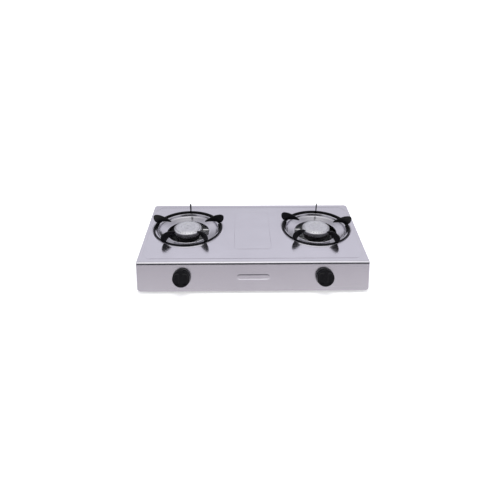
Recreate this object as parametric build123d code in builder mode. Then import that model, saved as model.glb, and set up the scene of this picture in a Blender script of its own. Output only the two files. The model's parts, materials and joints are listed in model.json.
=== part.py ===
"""Table-top gas stove with two burners.

A stainless casing with a leaning fascia carries two burners.  Each burner has a cast
body with a mixing tube, a lift-off cap, a drip bowl and a five-fingered pan support.
Behind each knob stands a brass valve on a common gas rail, with a spring that returns
the knob when it is pushed, and a spark igniter beside it.

Frame: +X to the user's right, +Y to the back, +Z up.  The origin is under the middle of
the stove, on the table.  All sizes are in millimetres.
"""

import os
from math import atan2, cos, degrees, pi, radians, sin, tan

from build123d import *

os.makedirs("parts", exist_ok=True)

# Casing
WIDTH = 700.0
TOP_DEPTH = 366.0
TOP_Z = 90.0
FASCIA_BOTTOM_Z = 8.0
LEAN = radians(22)
SHEET = 0.8
CORNER_R = 11.0
FRONT_BEND_R = 10.5
RIM_R = 2.0

# Worktop pressings
FIELD_FRONT, FIELD_BACK, FIELD_SIDE = 21.0, 19.0, 11.0
FIELD_CORNER_X, FIELD_CORNER_Y = 19.0, 25.0
FIELD_RISE = 0.6
PLATE_WIDTH, PLATE_LENGTH, PLATE_R, PLATE_RISE = 116.0, 236.0, 11.0, 0.5
PLATE_SETBACK = 190.0
BOWL_HOLE_R = 106.5

# The bead round each burner opening: (radius, height) from its foot inside to the field
SEAT_BEAD = [(113.2, 0.0), (114.8, 2.0), (116.0, 2.0), (120.5, FIELD_RISE), (120.5, 0.0)]

# Burners
BURNER_X = 214.5
BURNER_SETBACK = 200.0
SIDES = {"left": -1, "right": 1}
CAP_R = 45.5
CAP_SKIRT_END = -9.6
HEAD_R = 43.0
HEAD_RIM = -8.0
HEAD_BOTTOM = -42.0
BOWL_R = 112.0
BOWL_SHEET = 0.6
RING_R, RING_WIRE_R = 110.3, 3.0
RING_GAP = 0.2
FINGER_TOP = 34.0
FINGER_THICKNESS = 3.6
REAR_FINGER = 90
FINGER_ANGLES = (18, REAR_FINGER, 162, 234, 306)
# How far each loose support stands turned about its burner, in degrees
SUPPORT_TURN = {"left": 0, "right": -8}

# One finger's outline: (distance from the burner's axis, height above the worktop)
FINGER_UPPER = [(59.0, 17.6), (66.0, 22.4), (76.0, 27.2), (98.0, FINGER_TOP)]
FINGER_NOSE = [(111.0, FINGER_TOP), (124.9, 20.5), (117.5, 4.6)]
FINGER_LOWER = [(105.0, 3.4), (95.0, 10.2), (76.0, 14.6), (60.0, 15.4)]
# The rear finger is a short post that ends at the ring: its inner edge and top corner
POST_EDGE = [(105.0, 3.4), (104.6, 31.0)]
POST_CORNER = [(104.6, 31.0), (105.48, 33.12), (107.6, FINGER_TOP)]

# Mixing tube, from the centre of the burner head to its mouth behind the valve
TUBE_R, TUBE_BORE_R = 11.0, 8.5
TUBE_DROP = 30.0
CHAMBER_R, CHAMBER_BORE_R = 15.0, 12.5
CHAMBER_START, CHAMBER_END = 118.0, 138.0
SHUTTER_R = 16.5
RUNNING_GAP = 0.06

# Knob and valve, along the knob's axis, measured outward from the fascia
KNOB_SLANT = 45.0
KNOB_R, KNOB_HEIGHT, KNOB_BASE = 25.8, 23.0, 7.6
KNOB_EDGE_R = 1.6
KNOB_RIDGE = 1.6
BEZEL_R, BEZEL_HEIGHT = 27.5, 3.4
SPINDLE_R = 4.0
BONNET_TOP, BONNET_SHEET = -16.0, 3.0
VALVE_R, VALVE_END = 12.0, -46.0
PLUG_TOP, PLUG_END = -22.0, -40.0
PLUG_TOP_R, PLUG_END_R = 6.5, 5.5
CUP_TOP, CUP_SHEET, CUP_R = -3.7, 1.5, 8.0
SPRING_R, SPRING_WIRE_R = 6.0, 0.5
IGNITER_X = 27.0
LEAD_R = 1.5
PUSH = 3.5

# Gas supply
RAIL_R, RAIL_BORE_R = 6.5, 4.5
RAIL_BEHIND, RAIL_BELOW = 28.0, 17.5
RAIL_LEFT_X, RAIL_RIGHT_X = -250.0, 277.0
RAIL_CLIP_X = (-160.0, 0.0, 160.0)
PIPE_X, PIPE_R = 285.0, 5.0
NOZZLE_R, NOZZLE_REACH = 4.75, 26.0

# Base
TRAY_Z, TRAY_RIM = 12.0, 14.0
TRAY_SETBACK = -12.0
FOOT_X, FOOT_FRONT, FOOT_BACK = 310.0, 30.0, 330.0
SCREW_R = 2.0

# The knobs' faces are the foremost points and the hose nozzle is the rearmost one, and
# the origin lies half-way between them.
KNOB_REACH = (
    KNOB_SLANT * sin(LEAN)
    + (KNOB_HEIGHT - KNOB_EDGE_R) * cos(LEAN)
    + (KNOB_R - KNOB_EDGE_R) * sin(LEAN)
    + KNOB_EDGE_R
)
FRONT_Y = (KNOB_REACH - TOP_DEPTH - NOZZLE_REACH) / 2
BACK_Y = FRONT_Y + TOP_DEPTH
BURNER_Y = FRONT_Y + BURNER_SETBACK
HALF = WIDTH / 2
HEAD_Z = TOP_Z - TUBE_DROP


def front_y(z, inset=0.0):
    """Y of the fascia's face at height z, or of a face lying inset behind it."""
    return FRONT_Y - (TOP_Z - z) * tan(LEAN) + inset / cos(LEAN)


def fascia_plane(x, slant=KNOB_SLANT, out=0.0):
    """A plane on the fascia: its z points out at the user and its y up the slope."""
    origin = (
        x,
        FRONT_Y - slant * sin(LEAN) - out * cos(LEAN),
        TOP_Z - slant * cos(LEAN) + out * sin(LEAN),
    )
    return Plane(origin=origin, x_dir=(1, 0, 0), z_dir=(0, -cos(LEAN), sin(LEAN)))


def valve_point(x, up, out):
    """The place of a point given in the knob's own plane."""
    return fascia_plane(x).from_local_coords(Vector(0, up, out))


def save(piece, name):
    """Name a finished piece and write it."""
    piece.part.label = name
    export_step(piece.part, f"parts/{name}.step")
    return piece.part


RAIL_AXIS = valve_point(0, -RAIL_BELOW, -RAIL_BEHIND)
VALVE_REAR = valve_point(0, 0, -40.0)
TUBE_SLOPE = atan2(HEAD_Z - VALVE_REAR.Z, BURNER_Y - VALVE_REAR.Y)


def tube_plane(x, along=0.0):
    """A plane across the mixing tube, along mm forward of the burner head's centre."""
    origin = (x, BURNER_Y - along * cos(TUBE_SLOPE), HEAD_Z - along * sin(TUBE_SLOPE))
    z_dir = (0, -cos(TUBE_SLOPE), -sin(TUBE_SLOPE))
    return Plane(origin=origin, x_dir=(1, 0, 0), z_dir=z_dir)


# ---------------------------------------------------------------- screws and fixings


def countersunk_screws(spots, head_r, shank_r, length):
    """Flush screws in the side walls, with shanks that run towards the middle."""
    with BuildPart() as screws:
        for spot in spots:
            inward = (-1, 0, 0) if spot[0] > 0 else (1, 0, 0)
            with BuildSketch(Plane(origin=spot, z_dir=inward)):
                Circle(head_r)
            extrude(amount=head_r - shank_r, taper=45)
            with BuildSketch(Plane(origin=spot, z_dir=inward)):
                Circle(shank_r)
            extrude(amount=length)
    return screws


def pan_screws(planes, head_r, head_height, shank_r, shank_length):
    """Pan-head screws: each plane lies under a head, with its z out of the head."""
    with BuildPart() as screws:
        for plane in planes:
            with BuildSketch(plane):
                Circle(head_r)
            extrude(amount=head_height)
            with BuildSketch(plane):
                Circle(shank_r)
            extrude(amount=-shank_length)
            with BuildSketch(plane.offset(head_height)):
                Rectangle(head_r * 1.3, 0.7)
                Rectangle(0.7, head_r * 1.3)
            extrude(amount=-head_height / 2, mode=Mode.SUBTRACT)
    return screws


SIDE_SPOTS = [
    (sign * HALF, FRONT_Y + setback, TRAY_Z + 10.5)
    for sign in (-1, 1)
    for setback in (40.0, 190.0, 330.0)
]
side_screws = countersunk_screws(SIDE_SPOTS, 3.0, 1.5, 8.0)

BACK_SCREW_PLANES = [
    Plane(origin=(x, BACK_Y, z), x_dir=(-1, 0, 0), z_dir=(0, 1, 0))
    for x, z in [(-332, 30), (-332, 68), (332, 30), (332, 68), (-120, 80), (120, 80)]
]
back_screws = pan_screws(BACK_SCREW_PLANES, 3.2, 1.8, 1.6, 5.0)

FOOT_SPOTS = [
    (sign * FOOT_X, FRONT_Y + setback) for sign in (-1, 1) for setback in (FOOT_FRONT, FOOT_BACK)
]
FOOT_HEAD_Z = 5.0
foot_screws = pan_screws(
    [Plane(origin=(x, y, FOOT_HEAD_Z), x_dir=(1, 0, 0), z_dir=(0, 0, -1)) for x, y in FOOT_SPOTS],
    4.0,
    2.5,
    SCREW_R,
    12.0,
)


# ---------------------------------------------------------------- casing and base


def casing_block(inset, bottom):
    """The casing's outer form, or the form that lies inset inside its faces."""
    top, back = TOP_Z - inset, BACK_Y - inset

    def on_rim(edge):
        centre = edge.center()
        outer = abs(centre.X) > HALF - CORNER_R or centre.Y > back - CORNER_R
        level = edge.bounding_box().size
        upright = level.Z > 40 and level.Y < 1
        return outer and centre.Z > bottom + 1 and not upright

    with BuildPart() as block:
        with BuildSketch(Plane.YZ.offset(inset - HALF)):
            with BuildLine():
                Polyline(
                    (front_y(top, inset), top),
                    (back, top),
                    (back, bottom),
                    (front_y(bottom, inset), bottom),
                    close=True,
                )
            make_face()
        extrude(amount=WIDTH - 2 * inset)
        fillet(block.edges().filter_by(Axis.Z).group_by(Axis.Y)[-1], CORNER_R - inset)
        front_top = block.edges().filter_by(Axis.X).group_by(Axis.Z)[-1].sort_by(Axis.Y)[0]
        fillet(front_top, FRONT_BEND_R - inset)
        fillet(block.edges().filter_by(on_rim), RIM_R - inset)
    return block.part


def worktop_pressing(base_z):
    """The raised field of the worktop, standing on the level base_z."""
    x_side, x_cut = HALF - FIELD_SIDE, HALF - FIELD_SIDE - FIELD_CORNER_X
    y_front, y_back = FRONT_Y + FIELD_FRONT, BACK_Y - FIELD_BACK
    y_low, y_high = y_front + FIELD_CORNER_Y, y_back - FIELD_CORNER_Y
    with BuildPart() as land:
        with BuildSketch(Plane.XY.offset(base_z)):
            with BuildLine():
                Polyline(
                    (-x_cut, y_front),
                    (x_cut, y_front),
                    (x_side, y_low),
                    (x_side, y_high),
                    (x_cut, y_back),
                    (-x_cut, y_back),
                    (-x_side, y_high),
                    (-x_side, y_low),
                    close=True,
                )
            make_face()
        extrude(amount=FIELD_RISE, taper=45)
        with BuildSketch(Plane.XY.offset(base_z + FIELD_RISE)):
            with Locations((0, FRONT_Y + PLATE_SETBACK)):
                RectangleRounded(PLATE_WIDTH, PLATE_LENGTH, PLATE_R)
        extrude(amount=PLATE_RISE, taper=45)
        for x in (-BURNER_X, BURNER_X):
            with BuildSketch(Plane.XY.offset(base_z)):
                with Locations((x, BURNER_Y)):
                    Circle(SEAT_BEAD[2][0])
            extrude(amount=FIELD_RISE + 1, mode=Mode.SUBTRACT)
            with BuildSketch(Plane(origin=(x, BURNER_Y, base_z), x_dir=(1, 0, 0), z_dir=(0, -1, 0))):
                with BuildLine():
                    Polyline(*SEAT_BEAD, close=True)
                make_face()
            revolve(axis=Axis((x, BURNER_Y, 0), (0, 0, 1)))
    return land.part


def badge_pressing(out):
    """The plain stadium pressed into the middle of the fascia."""
    with BuildPart() as badge:
        with BuildSketch(fascia_plane(0, out=out)):
            SlotOverall(100, 18)
        extrude(amount=0.6, taper=45)
    return badge.part


with BuildPart() as casing:
    add(casing_block(0, FASCIA_BOTTOM_Z))
    add(casing_block(SHEET, FASCIA_BOTTOM_Z - 5), mode=Mode.SUBTRACT)
    add(worktop_pressing(TOP_Z))
    add(worktop_pressing(TOP_Z - SHEET), mode=Mode.SUBTRACT)
    add(badge_pressing(0))
    add(badge_pressing(-SHEET), mode=Mode.SUBTRACT)
    # Rounded lower corners, which also lift the lower edges of the sides
    with BuildSketch(Plane.XZ.offset(-BACK_Y - 1)):
        for sign in (-1, 1):
            with Locations((sign * (HALF - CORNER_R / 2 + 1), FASCIA_BOTTOM_Z + CORNER_R / 2 - 1)):
                Rectangle(CORNER_R + 2, CORNER_R + 2)
        with Locations(*[(sign * (HALF - CORNER_R), FASCIA_BOTTOM_Z + CORNER_R) for sign in (-1, 1)]):
            Circle(CORNER_R, mode=Mode.SUBTRACT)
    extrude(amount=TOP_DEPTH + 60, mode=Mode.SUBTRACT)
    # Window for the back panel
    with BuildSketch(Plane.XZ.offset(-BACK_Y - 1)):
        with Locations((0, 36)):
            Rectangle(2 * (HALF - 25), 80)
    extrude(amount=SHEET + 1.5, mode=Mode.SUBTRACT)
    # Burner openings
    with BuildSketch(Plane.XY.offset(TOP_Z + 3)):
        with Locations(*[(sign * BURNER_X, BURNER_Y) for sign in (-1, 1)]):
            Circle(BOWL_HOLE_R)
    extrude(amount=-8, mode=Mode.SUBTRACT)
    # Spindle holes
    for sign in (-1, 1):
        with BuildSketch(fascia_plane(sign * BURNER_X, out=2)):
            Circle(8.5)
        extrude(amount=-5, mode=Mode.SUBTRACT)
    add(side_screws.part, mode=Mode.SUBTRACT)
    add(back_screws.part, mode=Mode.SUBTRACT)
save(casing, "top_casing")

PANEL_BOTTOM, PANEL_TOP = 10.0, 84.0
with BuildPart() as back_panel:
    with BuildSketch(Plane.XZ.offset(-BACK_Y + SHEET)):
        with Locations((0, (PANEL_BOTTOM + PANEL_TOP) / 2)):
            RectangleRounded(2 * (HALF - 12), PANEL_TOP - PANEL_BOTTOM, 3)
        with Locations((0, 52)):
            with GridLocations(56, 14, 9, 2):
                SlotOverall(40, 5, mode=Mode.SUBTRACT)
        with Locations((PIPE_X, RAIL_AXIS.Z)):
            Circle(6.6, mode=Mode.SUBTRACT)
    extrude(amount=SHEET)
    add(back_screws.part, mode=Mode.SUBTRACT)
save(back_panel, "back_panel")
save(back_screws, "back_screws")
save(side_screws, "side_screws")

TRAY_FRONT_Y = FRONT_Y + TRAY_SETBACK
TRAY_BACK_Y = BACK_Y - 2 * SHEET - 0.4
TRAY_LENGTH = TRAY_BACK_Y - TRAY_FRONT_Y
TRAY_MID_Y = (TRAY_BACK_Y + TRAY_FRONT_Y) / 2
TRAY_FLOOR_TOP = TRAY_Z + SHEET


def tray_outline(inset):
    """The base tray's plan, drawn at the middle of the tray."""
    with BuildSketch(mode=Mode.PRIVATE) as plan:
        with Locations((0, TRAY_MID_Y)):
            RectangleRounded(
                2 * (HALF - SHEET - inset), TRAY_LENGTH - 2 * inset, CORNER_R + 2 - inset
            )
    return plan.sketch


def bracket_planes():
    """Where the screws of the burner, electrode and rail brackets stand in the tray."""
    spots = []
    for sign in SIDES.values():
        spots += [(sign * BURNER_X + dx, BURNER_Y - 2) for dx in (-12, 12)]
        spots.append((sign * BURNER_X - sign * 83.5, BURNER_Y + 20))
    spots += [(x, RAIL_AXIS.Y + 17) for x in RAIL_CLIP_X]
    return [
        Plane(origin=(x, y, TRAY_FLOOR_TOP + 1.2), x_dir=(1, 0, 0), z_dir=(0, 0, 1))
        for x, y in spots
    ]


bracket_screws = pan_screws(bracket_planes(), 3.4, 1.8, 1.5, 3.2)

with BuildPart() as base_tray:
    with BuildSketch(Plane.XY.offset(TRAY_Z)):
        add(tray_outline(0))
    extrude(amount=TRAY_RIM)
    with BuildSketch(Plane.XY.offset(TRAY_FLOOR_TOP)):
        add(tray_outline(SHEET))
    extrude(amount=TRAY_RIM, mode=Mode.SUBTRACT)
    # The front rim is cut low to clear the gas rail
    with BuildSketch(Plane.XY.offset(TRAY_Z + 3)):
        with Locations((0, TRAY_FRONT_Y)):
            Rectangle(WIDTH, 40)
    extrude(amount=TRAY_RIM, mode=Mode.SUBTRACT)
    # A notch in the rear rim for the gas inlet
    with BuildSketch(Plane.XY.offset(TRAY_FLOOR_TOP + 0.4)):
        with Locations((PIPE_X, TRAY_BACK_Y)):
            Rectangle(24, 8)
    extrude(amount=TRAY_RIM, mode=Mode.SUBTRACT)
    # Air slots under each burner
    with BuildSketch(Plane.XY.offset(TRAY_Z - 1)):
        for sign in (-1, 1):
            with Locations((sign * BURNER_X, BURNER_Y + 75)):
                with GridLocations(46, 14, 2, 4):
                    SlotOverall(36, 6)
    extrude(amount=3, mode=Mode.SUBTRACT)
    for piece in (side_screws, foot_screws, bracket_screws):
        add(piece.part, mode=Mode.SUBTRACT)
save(base_tray, "base_tray")
save(foot_screws, "foot_screws")
save(bracket_screws, "bracket_screws")

with BuildPart() as feet:
    with Locations(*[(x, y, 0) for x, y in FOOT_SPOTS]):
        Cone(11.5, 13.0, TRAY_Z, align=(Align.CENTER, Align.CENTER, Align.MIN))
    with Locations(*[(x, y, -1) for x, y in FOOT_SPOTS]):
        Cylinder(
            4.6, FOOT_HEAD_Z + 1, align=(Align.CENTER, Align.CENTER, Align.MIN), mode=Mode.SUBTRACT
        )
    add(foot_screws.part, mode=Mode.SUBTRACT)
save(feet, "rubber_feet")


# ---------------------------------------------------------------- gas supply

with BuildPart() as rail:
    with BuildSketch(Plane(origin=(RAIL_LEFT_X, RAIL_AXIS.Y, RAIL_AXIS.Z), z_dir=(1, 0, 0))):
        Circle(RAIL_R)
        Circle(RAIL_BORE_R, mode=Mode.SUBTRACT)
    extrude(amount=RAIL_RIGHT_X - RAIL_LEFT_X)
    for x in (-BURNER_X, BURNER_X):
        up = fascia_plane(x).y_dir
        start = valve_point(x, -RAIL_BELOW, -RAIL_BEHIND)
        with BuildSketch(Plane(origin=start, x_dir=(1, 0, 0), z_dir=up)):
            Circle(2.5)
        extrude(amount=RAIL_R + 2, mode=Mode.SUBTRACT)
save(rail, "gas_rail")

with BuildPart() as rail_solid:
    with BuildSketch(Plane(origin=(RAIL_LEFT_X, RAIL_AXIS.Y, RAIL_AXIS.Z), z_dir=(1, 0, 0))):
        Circle(RAIL_R)
    extrude(amount=RAIL_RIGHT_X - RAIL_LEFT_X)

with BuildPart() as rail_plug:
    with BuildSketch(Plane(origin=(RAIL_LEFT_X, RAIL_AXIS.Y, RAIL_AXIS.Z), z_dir=(-1, 0, 0))):
        RegularPolygon(7.5, 6)
    extrude(amount=5)
    with BuildSketch(Plane(origin=(RAIL_LEFT_X, RAIL_AXIS.Y, RAIL_AXIS.Z), z_dir=(1, 0, 0))):
        Circle(RAIL_BORE_R)
    extrude(amount=9)
save(rail_plug, "rail_plug")

ELBOW_R, ELBOW_BEND_R, SOCKET = 8.5, 10.0, 8.0
ELBOW_CORNER = (PIPE_X, RAIL_AXIS.Y, RAIL_AXIS.Z)
ELBOW_MOUTH_X = RAIL_RIGHT_X - SOCKET
ELBOW_MOUTH_Y = RAIL_AXIS.Y + 20
with BuildPart() as elbow:
    with BuildLine() as route:
        FilletPolyline(
            (ELBOW_MOUTH_X, RAIL_AXIS.Y, RAIL_AXIS.Z),
            ELBOW_CORNER,
            (PIPE_X, ELBOW_MOUTH_Y, RAIL_AXIS.Z),
            radius=ELBOW_BEND_R,
        )
    with BuildSketch(Plane(origin=route.line @ 0, z_dir=route.line % 0)):
        Circle(ELBOW_R)
        Circle(3.5, mode=Mode.SUBTRACT)
    sweep(path=route.line)
    with BuildSketch(Plane(origin=(ELBOW_MOUTH_X, RAIL_AXIS.Y, RAIL_AXIS.Z), z_dir=(1, 0, 0))):
        Circle(RAIL_R)
    extrude(amount=SOCKET, mode=Mode.SUBTRACT)
    with BuildSketch(Plane(origin=(PIPE_X, ELBOW_MOUTH_Y - SOCKET, RAIL_AXIS.Z), z_dir=(0, 1, 0))):
        Circle(PIPE_R)
    extrude(amount=SOCKET, mode=Mode.SUBTRACT)
save(elbow, "rail_elbow")

PIPE_END_Y = BACK_Y - 24
with BuildPart() as pipe:
    with BuildSketch(Plane(origin=(PIPE_X, ELBOW_MOUTH_Y - SOCKET, RAIL_AXIS.Z), z_dir=(0, 1, 0))):
        Circle(PIPE_R)
        Circle(PIPE_R - 1.2, mode=Mode.SUBTRACT)
    extrude(amount=PIPE_END_Y - ELBOW_MOUTH_Y + SOCKET)
save(pipe, "supply_pipe")

# The nozzle is turned from hexagon bar: a socket on the pipe, a shoulder inside the back
# panel, a threaded neck through it, and the ribbed spigot for the hose.
with BuildPart() as nozzle:
    nozzle_axis = Plane(origin=(PIPE_X, PIPE_END_Y - 8, RAIL_AXIS.Z), x_dir=(1, 0, 0), z_dir=(0, 1, 0))
    with BuildSketch(nozzle_axis):
        Circle(7.6)
    extrude(amount=12)
    with BuildSketch(nozzle_axis.offset(12)):
        RegularPolygon(9.5, 6)
    extrude(amount=20 - 2 * SHEET)
    with BuildSketch(nozzle_axis.offset(30)):
        Circle(6.5)
    extrude(amount=8)
    with BuildSketch(nozzle_axis.offset(36)):
        Circle(NOZZLE_R)
    extrude(amount=NOZZLE_REACH - 4)
    nozzle_tip = nozzle.faces().sort_by(Axis.Y)[-1]
    chamfer(nozzle_tip.edges(), 0.8)
    for step in (9.0, 14.0, 19.0):
        with BuildSketch(nozzle_axis.offset(32 + step)):
            Circle(NOZZLE_R + 1)
            Circle(NOZZLE_R - 0.7, mode=Mode.SUBTRACT)
        extrude(amount=1.6, mode=Mode.SUBTRACT)
    with BuildSketch(nozzle_axis):
        Circle(PIPE_R)
    extrude(amount=8, mode=Mode.SUBTRACT)
    with BuildSketch(nozzle_axis):
        Circle(2.8)
    extrude(amount=80, mode=Mode.SUBTRACT)
save(nozzle, "hose_nozzle")

with BuildPart() as inlet_nut:
    with BuildSketch(Plane(origin=(PIPE_X, BACK_Y - SHEET, RAIL_AXIS.Z), x_dir=(1, 0, 0), z_dir=(0, 1, 0))):
        RegularPolygon(9.5, 6)
        Circle(6.5, mode=Mode.SUBTRACT)
    extrude(amount=4)
save(inlet_nut, "inlet_nut")

with BuildPart() as rail_clips:
    for x in RAIL_CLIP_X:
        with BuildSketch(Plane.YZ.offset(x - 5)):
            with Locations((RAIL_AXIS.Y, RAIL_AXIS.Z)):
                Circle(RAIL_R + 1.2)
            with Locations((RAIL_AXIS.Y + 12, TRAY_FLOOR_TOP + 0.6)):
                Rectangle(22, 1.2)
            with Locations((RAIL_AXIS.Y + RAIL_R + 0.6, (RAIL_AXIS.Z + TRAY_FLOOR_TOP) / 2)):
                Rectangle(1.2, RAIL_AXIS.Z - TRAY_FLOOR_TOP)
            with Locations((RAIL_AXIS.Y, RAIL_AXIS.Z)):
                Circle(RAIL_R, mode=Mode.SUBTRACT)
        extrude(amount=10)
    add(bracket_screws.part, mode=Mode.SUBTRACT)
save(rail_clips, "rail_clips")


# ---------------------------------------------------------------- burners


def revolve_profile(x, points):
    """A solid turned about the burner's axis from (radius, height above worktop) points."""
    plane = Plane(origin=(x, BURNER_Y, TOP_Z), x_dir=(1, 0, 0), z_dir=(0, -1, 0))
    with BuildPart() as turned:
        with BuildSketch(plane):
            with BuildLine():
                Polyline(*points, close=True)
            make_face()
        revolve(axis=Axis((x, BURNER_Y, 0), (0, 0, 1)))
    return turned.part


def make_drip_bowl(side, x):
    """A pressed bowl: a flat flange, a steep wall, a bead and a sloping floor."""
    upper = [
        (BOWL_R, BOWL_SHEET),
        (101.8, BOWL_SHEET),
        (100.5, 0.1),
        (99.8, -1.2),
        (97.4, -6.6),
        (96.2, -7.5),
        (94.6, -7.0),
        (93.0, -7.9),
        (82.0, -10.6),
        (73.0, -12.8),
        (71.0, -12.8),
        (70.0, -12.2),
    ]
    lower = [(r, z - BOWL_SHEET) for r, z in reversed(upper)]
    with BuildPart() as bowl:
        add(revolve_profile(x, upper + lower))
    return save(bowl, f"{side}_drip_bowl")


def make_pan_support(side, x):
    """The wire ring that lies on the bowl's flange, and the five fingers welded to it."""
    ring_z = TOP_Z + BOWL_SHEET + RING_GAP + RING_WIRE_R
    with BuildPart() as ring:
        with Locations((x, BURNER_Y, ring_z)):
            Torus(RING_R, RING_WIRE_R)
    save(ring, f"{side}_support_ring")
    with BuildPart() as fingers:
        for angle in FINGER_ANGLES:
            turn = radians(angle + SUPPORT_TURN[side])
            along, across = (cos(turn), sin(turn), 0), (sin(turn), -cos(turn), 0)
            plane = Plane(origin=(x, BURNER_Y, TOP_Z), x_dir=along, z_dir=across)
            with BuildSketch(plane.offset(-FINGER_THICKNESS / 2)):
                with BuildLine():
                    ThreePointArc(*FINGER_NOSE)
                    Line(FINGER_NOSE[-1], FINGER_LOWER[0])
                    if angle == REAR_FINGER:
                        Line(*POST_EDGE)
                        ThreePointArc(*POST_CORNER)
                        Line(POST_CORNER[-1], FINGER_NOSE[0])
                    else:
                        Spline(*FINGER_LOWER, tangents=((-0.7, 0.7), (-1, 0.0)))
                        Line(FINGER_LOWER[-1], FINGER_UPPER[0])
                        Spline(*FINGER_UPPER, tangents=((0.9, 0.75), (1, 0.05)))
                        Line(FINGER_UPPER[-1], FINGER_NOSE[0])
                make_face()
            extrude(amount=FINGER_THICKNESS)
        add(ring.part, mode=Mode.SUBTRACT)
    save(fingers, f"{side}_support_fingers")


def make_burner_cap(side, x):
    """The lift-off cap: a shallow dish on top, a sloping edge with ports, and a spigot."""
    points = [
        (0, 6.6),
        (8.6, 6.6),
        (9.4, 7.5),
        (11.0, 7.5),
        (11.8, 6.6),
        (20.5, 6.6),
        (22.5, 8.4),
        (31.0, 9.0),
        (38.0, 7.4),
        (43.5, 4.4),
        (CAP_R - 0.4, 3.0),
        (CAP_R, 2.4),
        (CAP_R, CAP_SKIRT_END),
        (HEAD_R + 0.3, CAP_SKIRT_END),
        (HEAD_R + 0.3, -6.5),
        (42.0, -6.5),
        (42.0, HEAD_RIM),
        (38.1, HEAD_RIM),
        (38.1, -12.0),
        (35.5, -12.0),
        (35.5, -3.0),
        (30.5, 3.6),
        (0, 3.6),
    ]
    slope = degrees(atan2(3.0, 5.5))
    with BuildPart() as cap:
        add(revolve_profile(x, points))
        # Flame ports through the sloping edge
        with Locations((x, BURNER_Y, TOP_Z)):
            with PolarLocations(0, 30):
                with Locations(Location((40.4, 0, 6.1), (0, slope, 0))):
                    Cylinder(1.5, 24, mode=Mode.SUBTRACT)
        # Slots under the skirt for the flame that lights the ring
        with Locations((x, BURNER_Y, TOP_Z + CAP_SKIRT_END + 1)):
            with PolarLocations(44, 36, 5):
                Box(6, 1.6, 4, mode=Mode.SUBTRACT)
    return save(cap, f"{side}_burner_cap")


def burner_screw_planes(x):
    """Two screws that hold the burner head down on its bracket."""
    return [
        Plane(origin=(x + dx, BURNER_Y + 8, TOP_Z + HEAD_BOTTOM - 1.5), x_dir=(1, 0, 0), z_dir=(0, 0, -1))
        for dx in (-12, 12)
    ]


burner_screws = pan_screws(
    [plane for sign in SIDES.values() for plane in burner_screw_planes(sign * BURNER_X)],
    3.4,
    2.0,
    1.8,
    5.5,
)
save(burner_screws, "burner_screws")


def make_burner_body(side, x):
    """The cast head, a cup open at the top, with the mixing tube running to the front."""
    cup = [
        (0, HEAD_BOTTOM),
        (26.0, HEAD_BOTTOM),
        (38.0, -31.0),
        (HEAD_R, -15.0),
        (HEAD_R, HEAD_RIM),
        (38.5, HEAD_RIM),
        (38.5, -15.0),
        (34.0, -29.0),
        (24.0, -37.5),
        (0, -37.5),
    ]
    hollow = [(0, HEAD_RIM), (38.5, HEAD_RIM), (38.5, -15.0), (34.0, -29.0), (24.0, -37.5), (0, -37.5)]
    with BuildPart() as body:
        with BuildSketch(tube_plane(x)):
            Circle(TUBE_R)
        extrude(amount=CHAMBER_START + 4)
        with BuildSketch(tube_plane(x, CHAMBER_START - 14)):
            Circle(TUBE_R)
        with BuildSketch(tube_plane(x, CHAMBER_START)):
            Circle(CHAMBER_R)
        loft()
        with BuildSketch(tube_plane(x, CHAMBER_START)):
            Circle(CHAMBER_R)
        extrude(amount=CHAMBER_END - CHAMBER_START)
        add(revolve_profile(x, cup))
        add(revolve_profile(x, hollow), mode=Mode.SUBTRACT)
        with BuildSketch(tube_plane(x, 15)):
            Circle(TUBE_BORE_R)
        extrude(amount=CHAMBER_START - 15, mode=Mode.SUBTRACT)
        with BuildSketch(tube_plane(x, CHAMBER_START - 1)):
            Circle(CHAMBER_BORE_R)
        extrude(amount=CHAMBER_END - CHAMBER_START - 1, mode=Mode.SUBTRACT)
        with BuildSketch(tube_plane(x, CHAMBER_END - 5)):
            Circle(6.5)
        extrude(amount=8, mode=Mode.SUBTRACT)
        # Air windows round the chamber
        chamber = tube_plane(x, (CHAMBER_START + CHAMBER_END) / 2)
        for turn in (0, 90, 180, 270):
            aim = chamber.rotated((0, 0, turn))
            with BuildSketch(Plane(origin=chamber.origin, x_dir=aim.y_dir, z_dir=aim.x_dir)):
                Rectangle(9, 8)
            extrude(amount=CHAMBER_R + 3, mode=Mode.SUBTRACT)
        add(burner_screws.part, mode=Mode.SUBTRACT)
    return save(body, f"{side}_burner_body")


def make_air_shutter(side, x):
    """A sleeve that turns on the mixing chamber and covers its air windows."""
    start = tube_plane(x, CHAMBER_START + 2)
    with BuildPart() as shutter:
        with BuildSketch(start):
            Circle(SHUTTER_R)
        extrude(amount=CHAMBER_END - CHAMBER_START - 3)
        with BuildSketch(start.offset(10)):
            with Locations((0, -SHUTTER_R - 1)):
                Rectangle(7, 5)
        extrude(amount=1.4)
        with BuildSketch(start):
            Circle(CHAMBER_R + RUNNING_GAP)
        extrude(amount=CHAMBER_END - CHAMBER_START, mode=Mode.SUBTRACT)
        chamber = tube_plane(x, (CHAMBER_START + CHAMBER_END) / 2)
        for turn in (0, 90, 180, 270):
            aim = chamber.rotated((0, 0, turn))
            with BuildSketch(Plane(origin=chamber.origin, x_dir=aim.y_dir, z_dir=aim.x_dir)):
                Rectangle(9, 8)
            extrude(amount=SHUTTER_R + 3, mode=Mode.SUBTRACT)
    return save(shutter, f"{side}_air_shutter")


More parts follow.
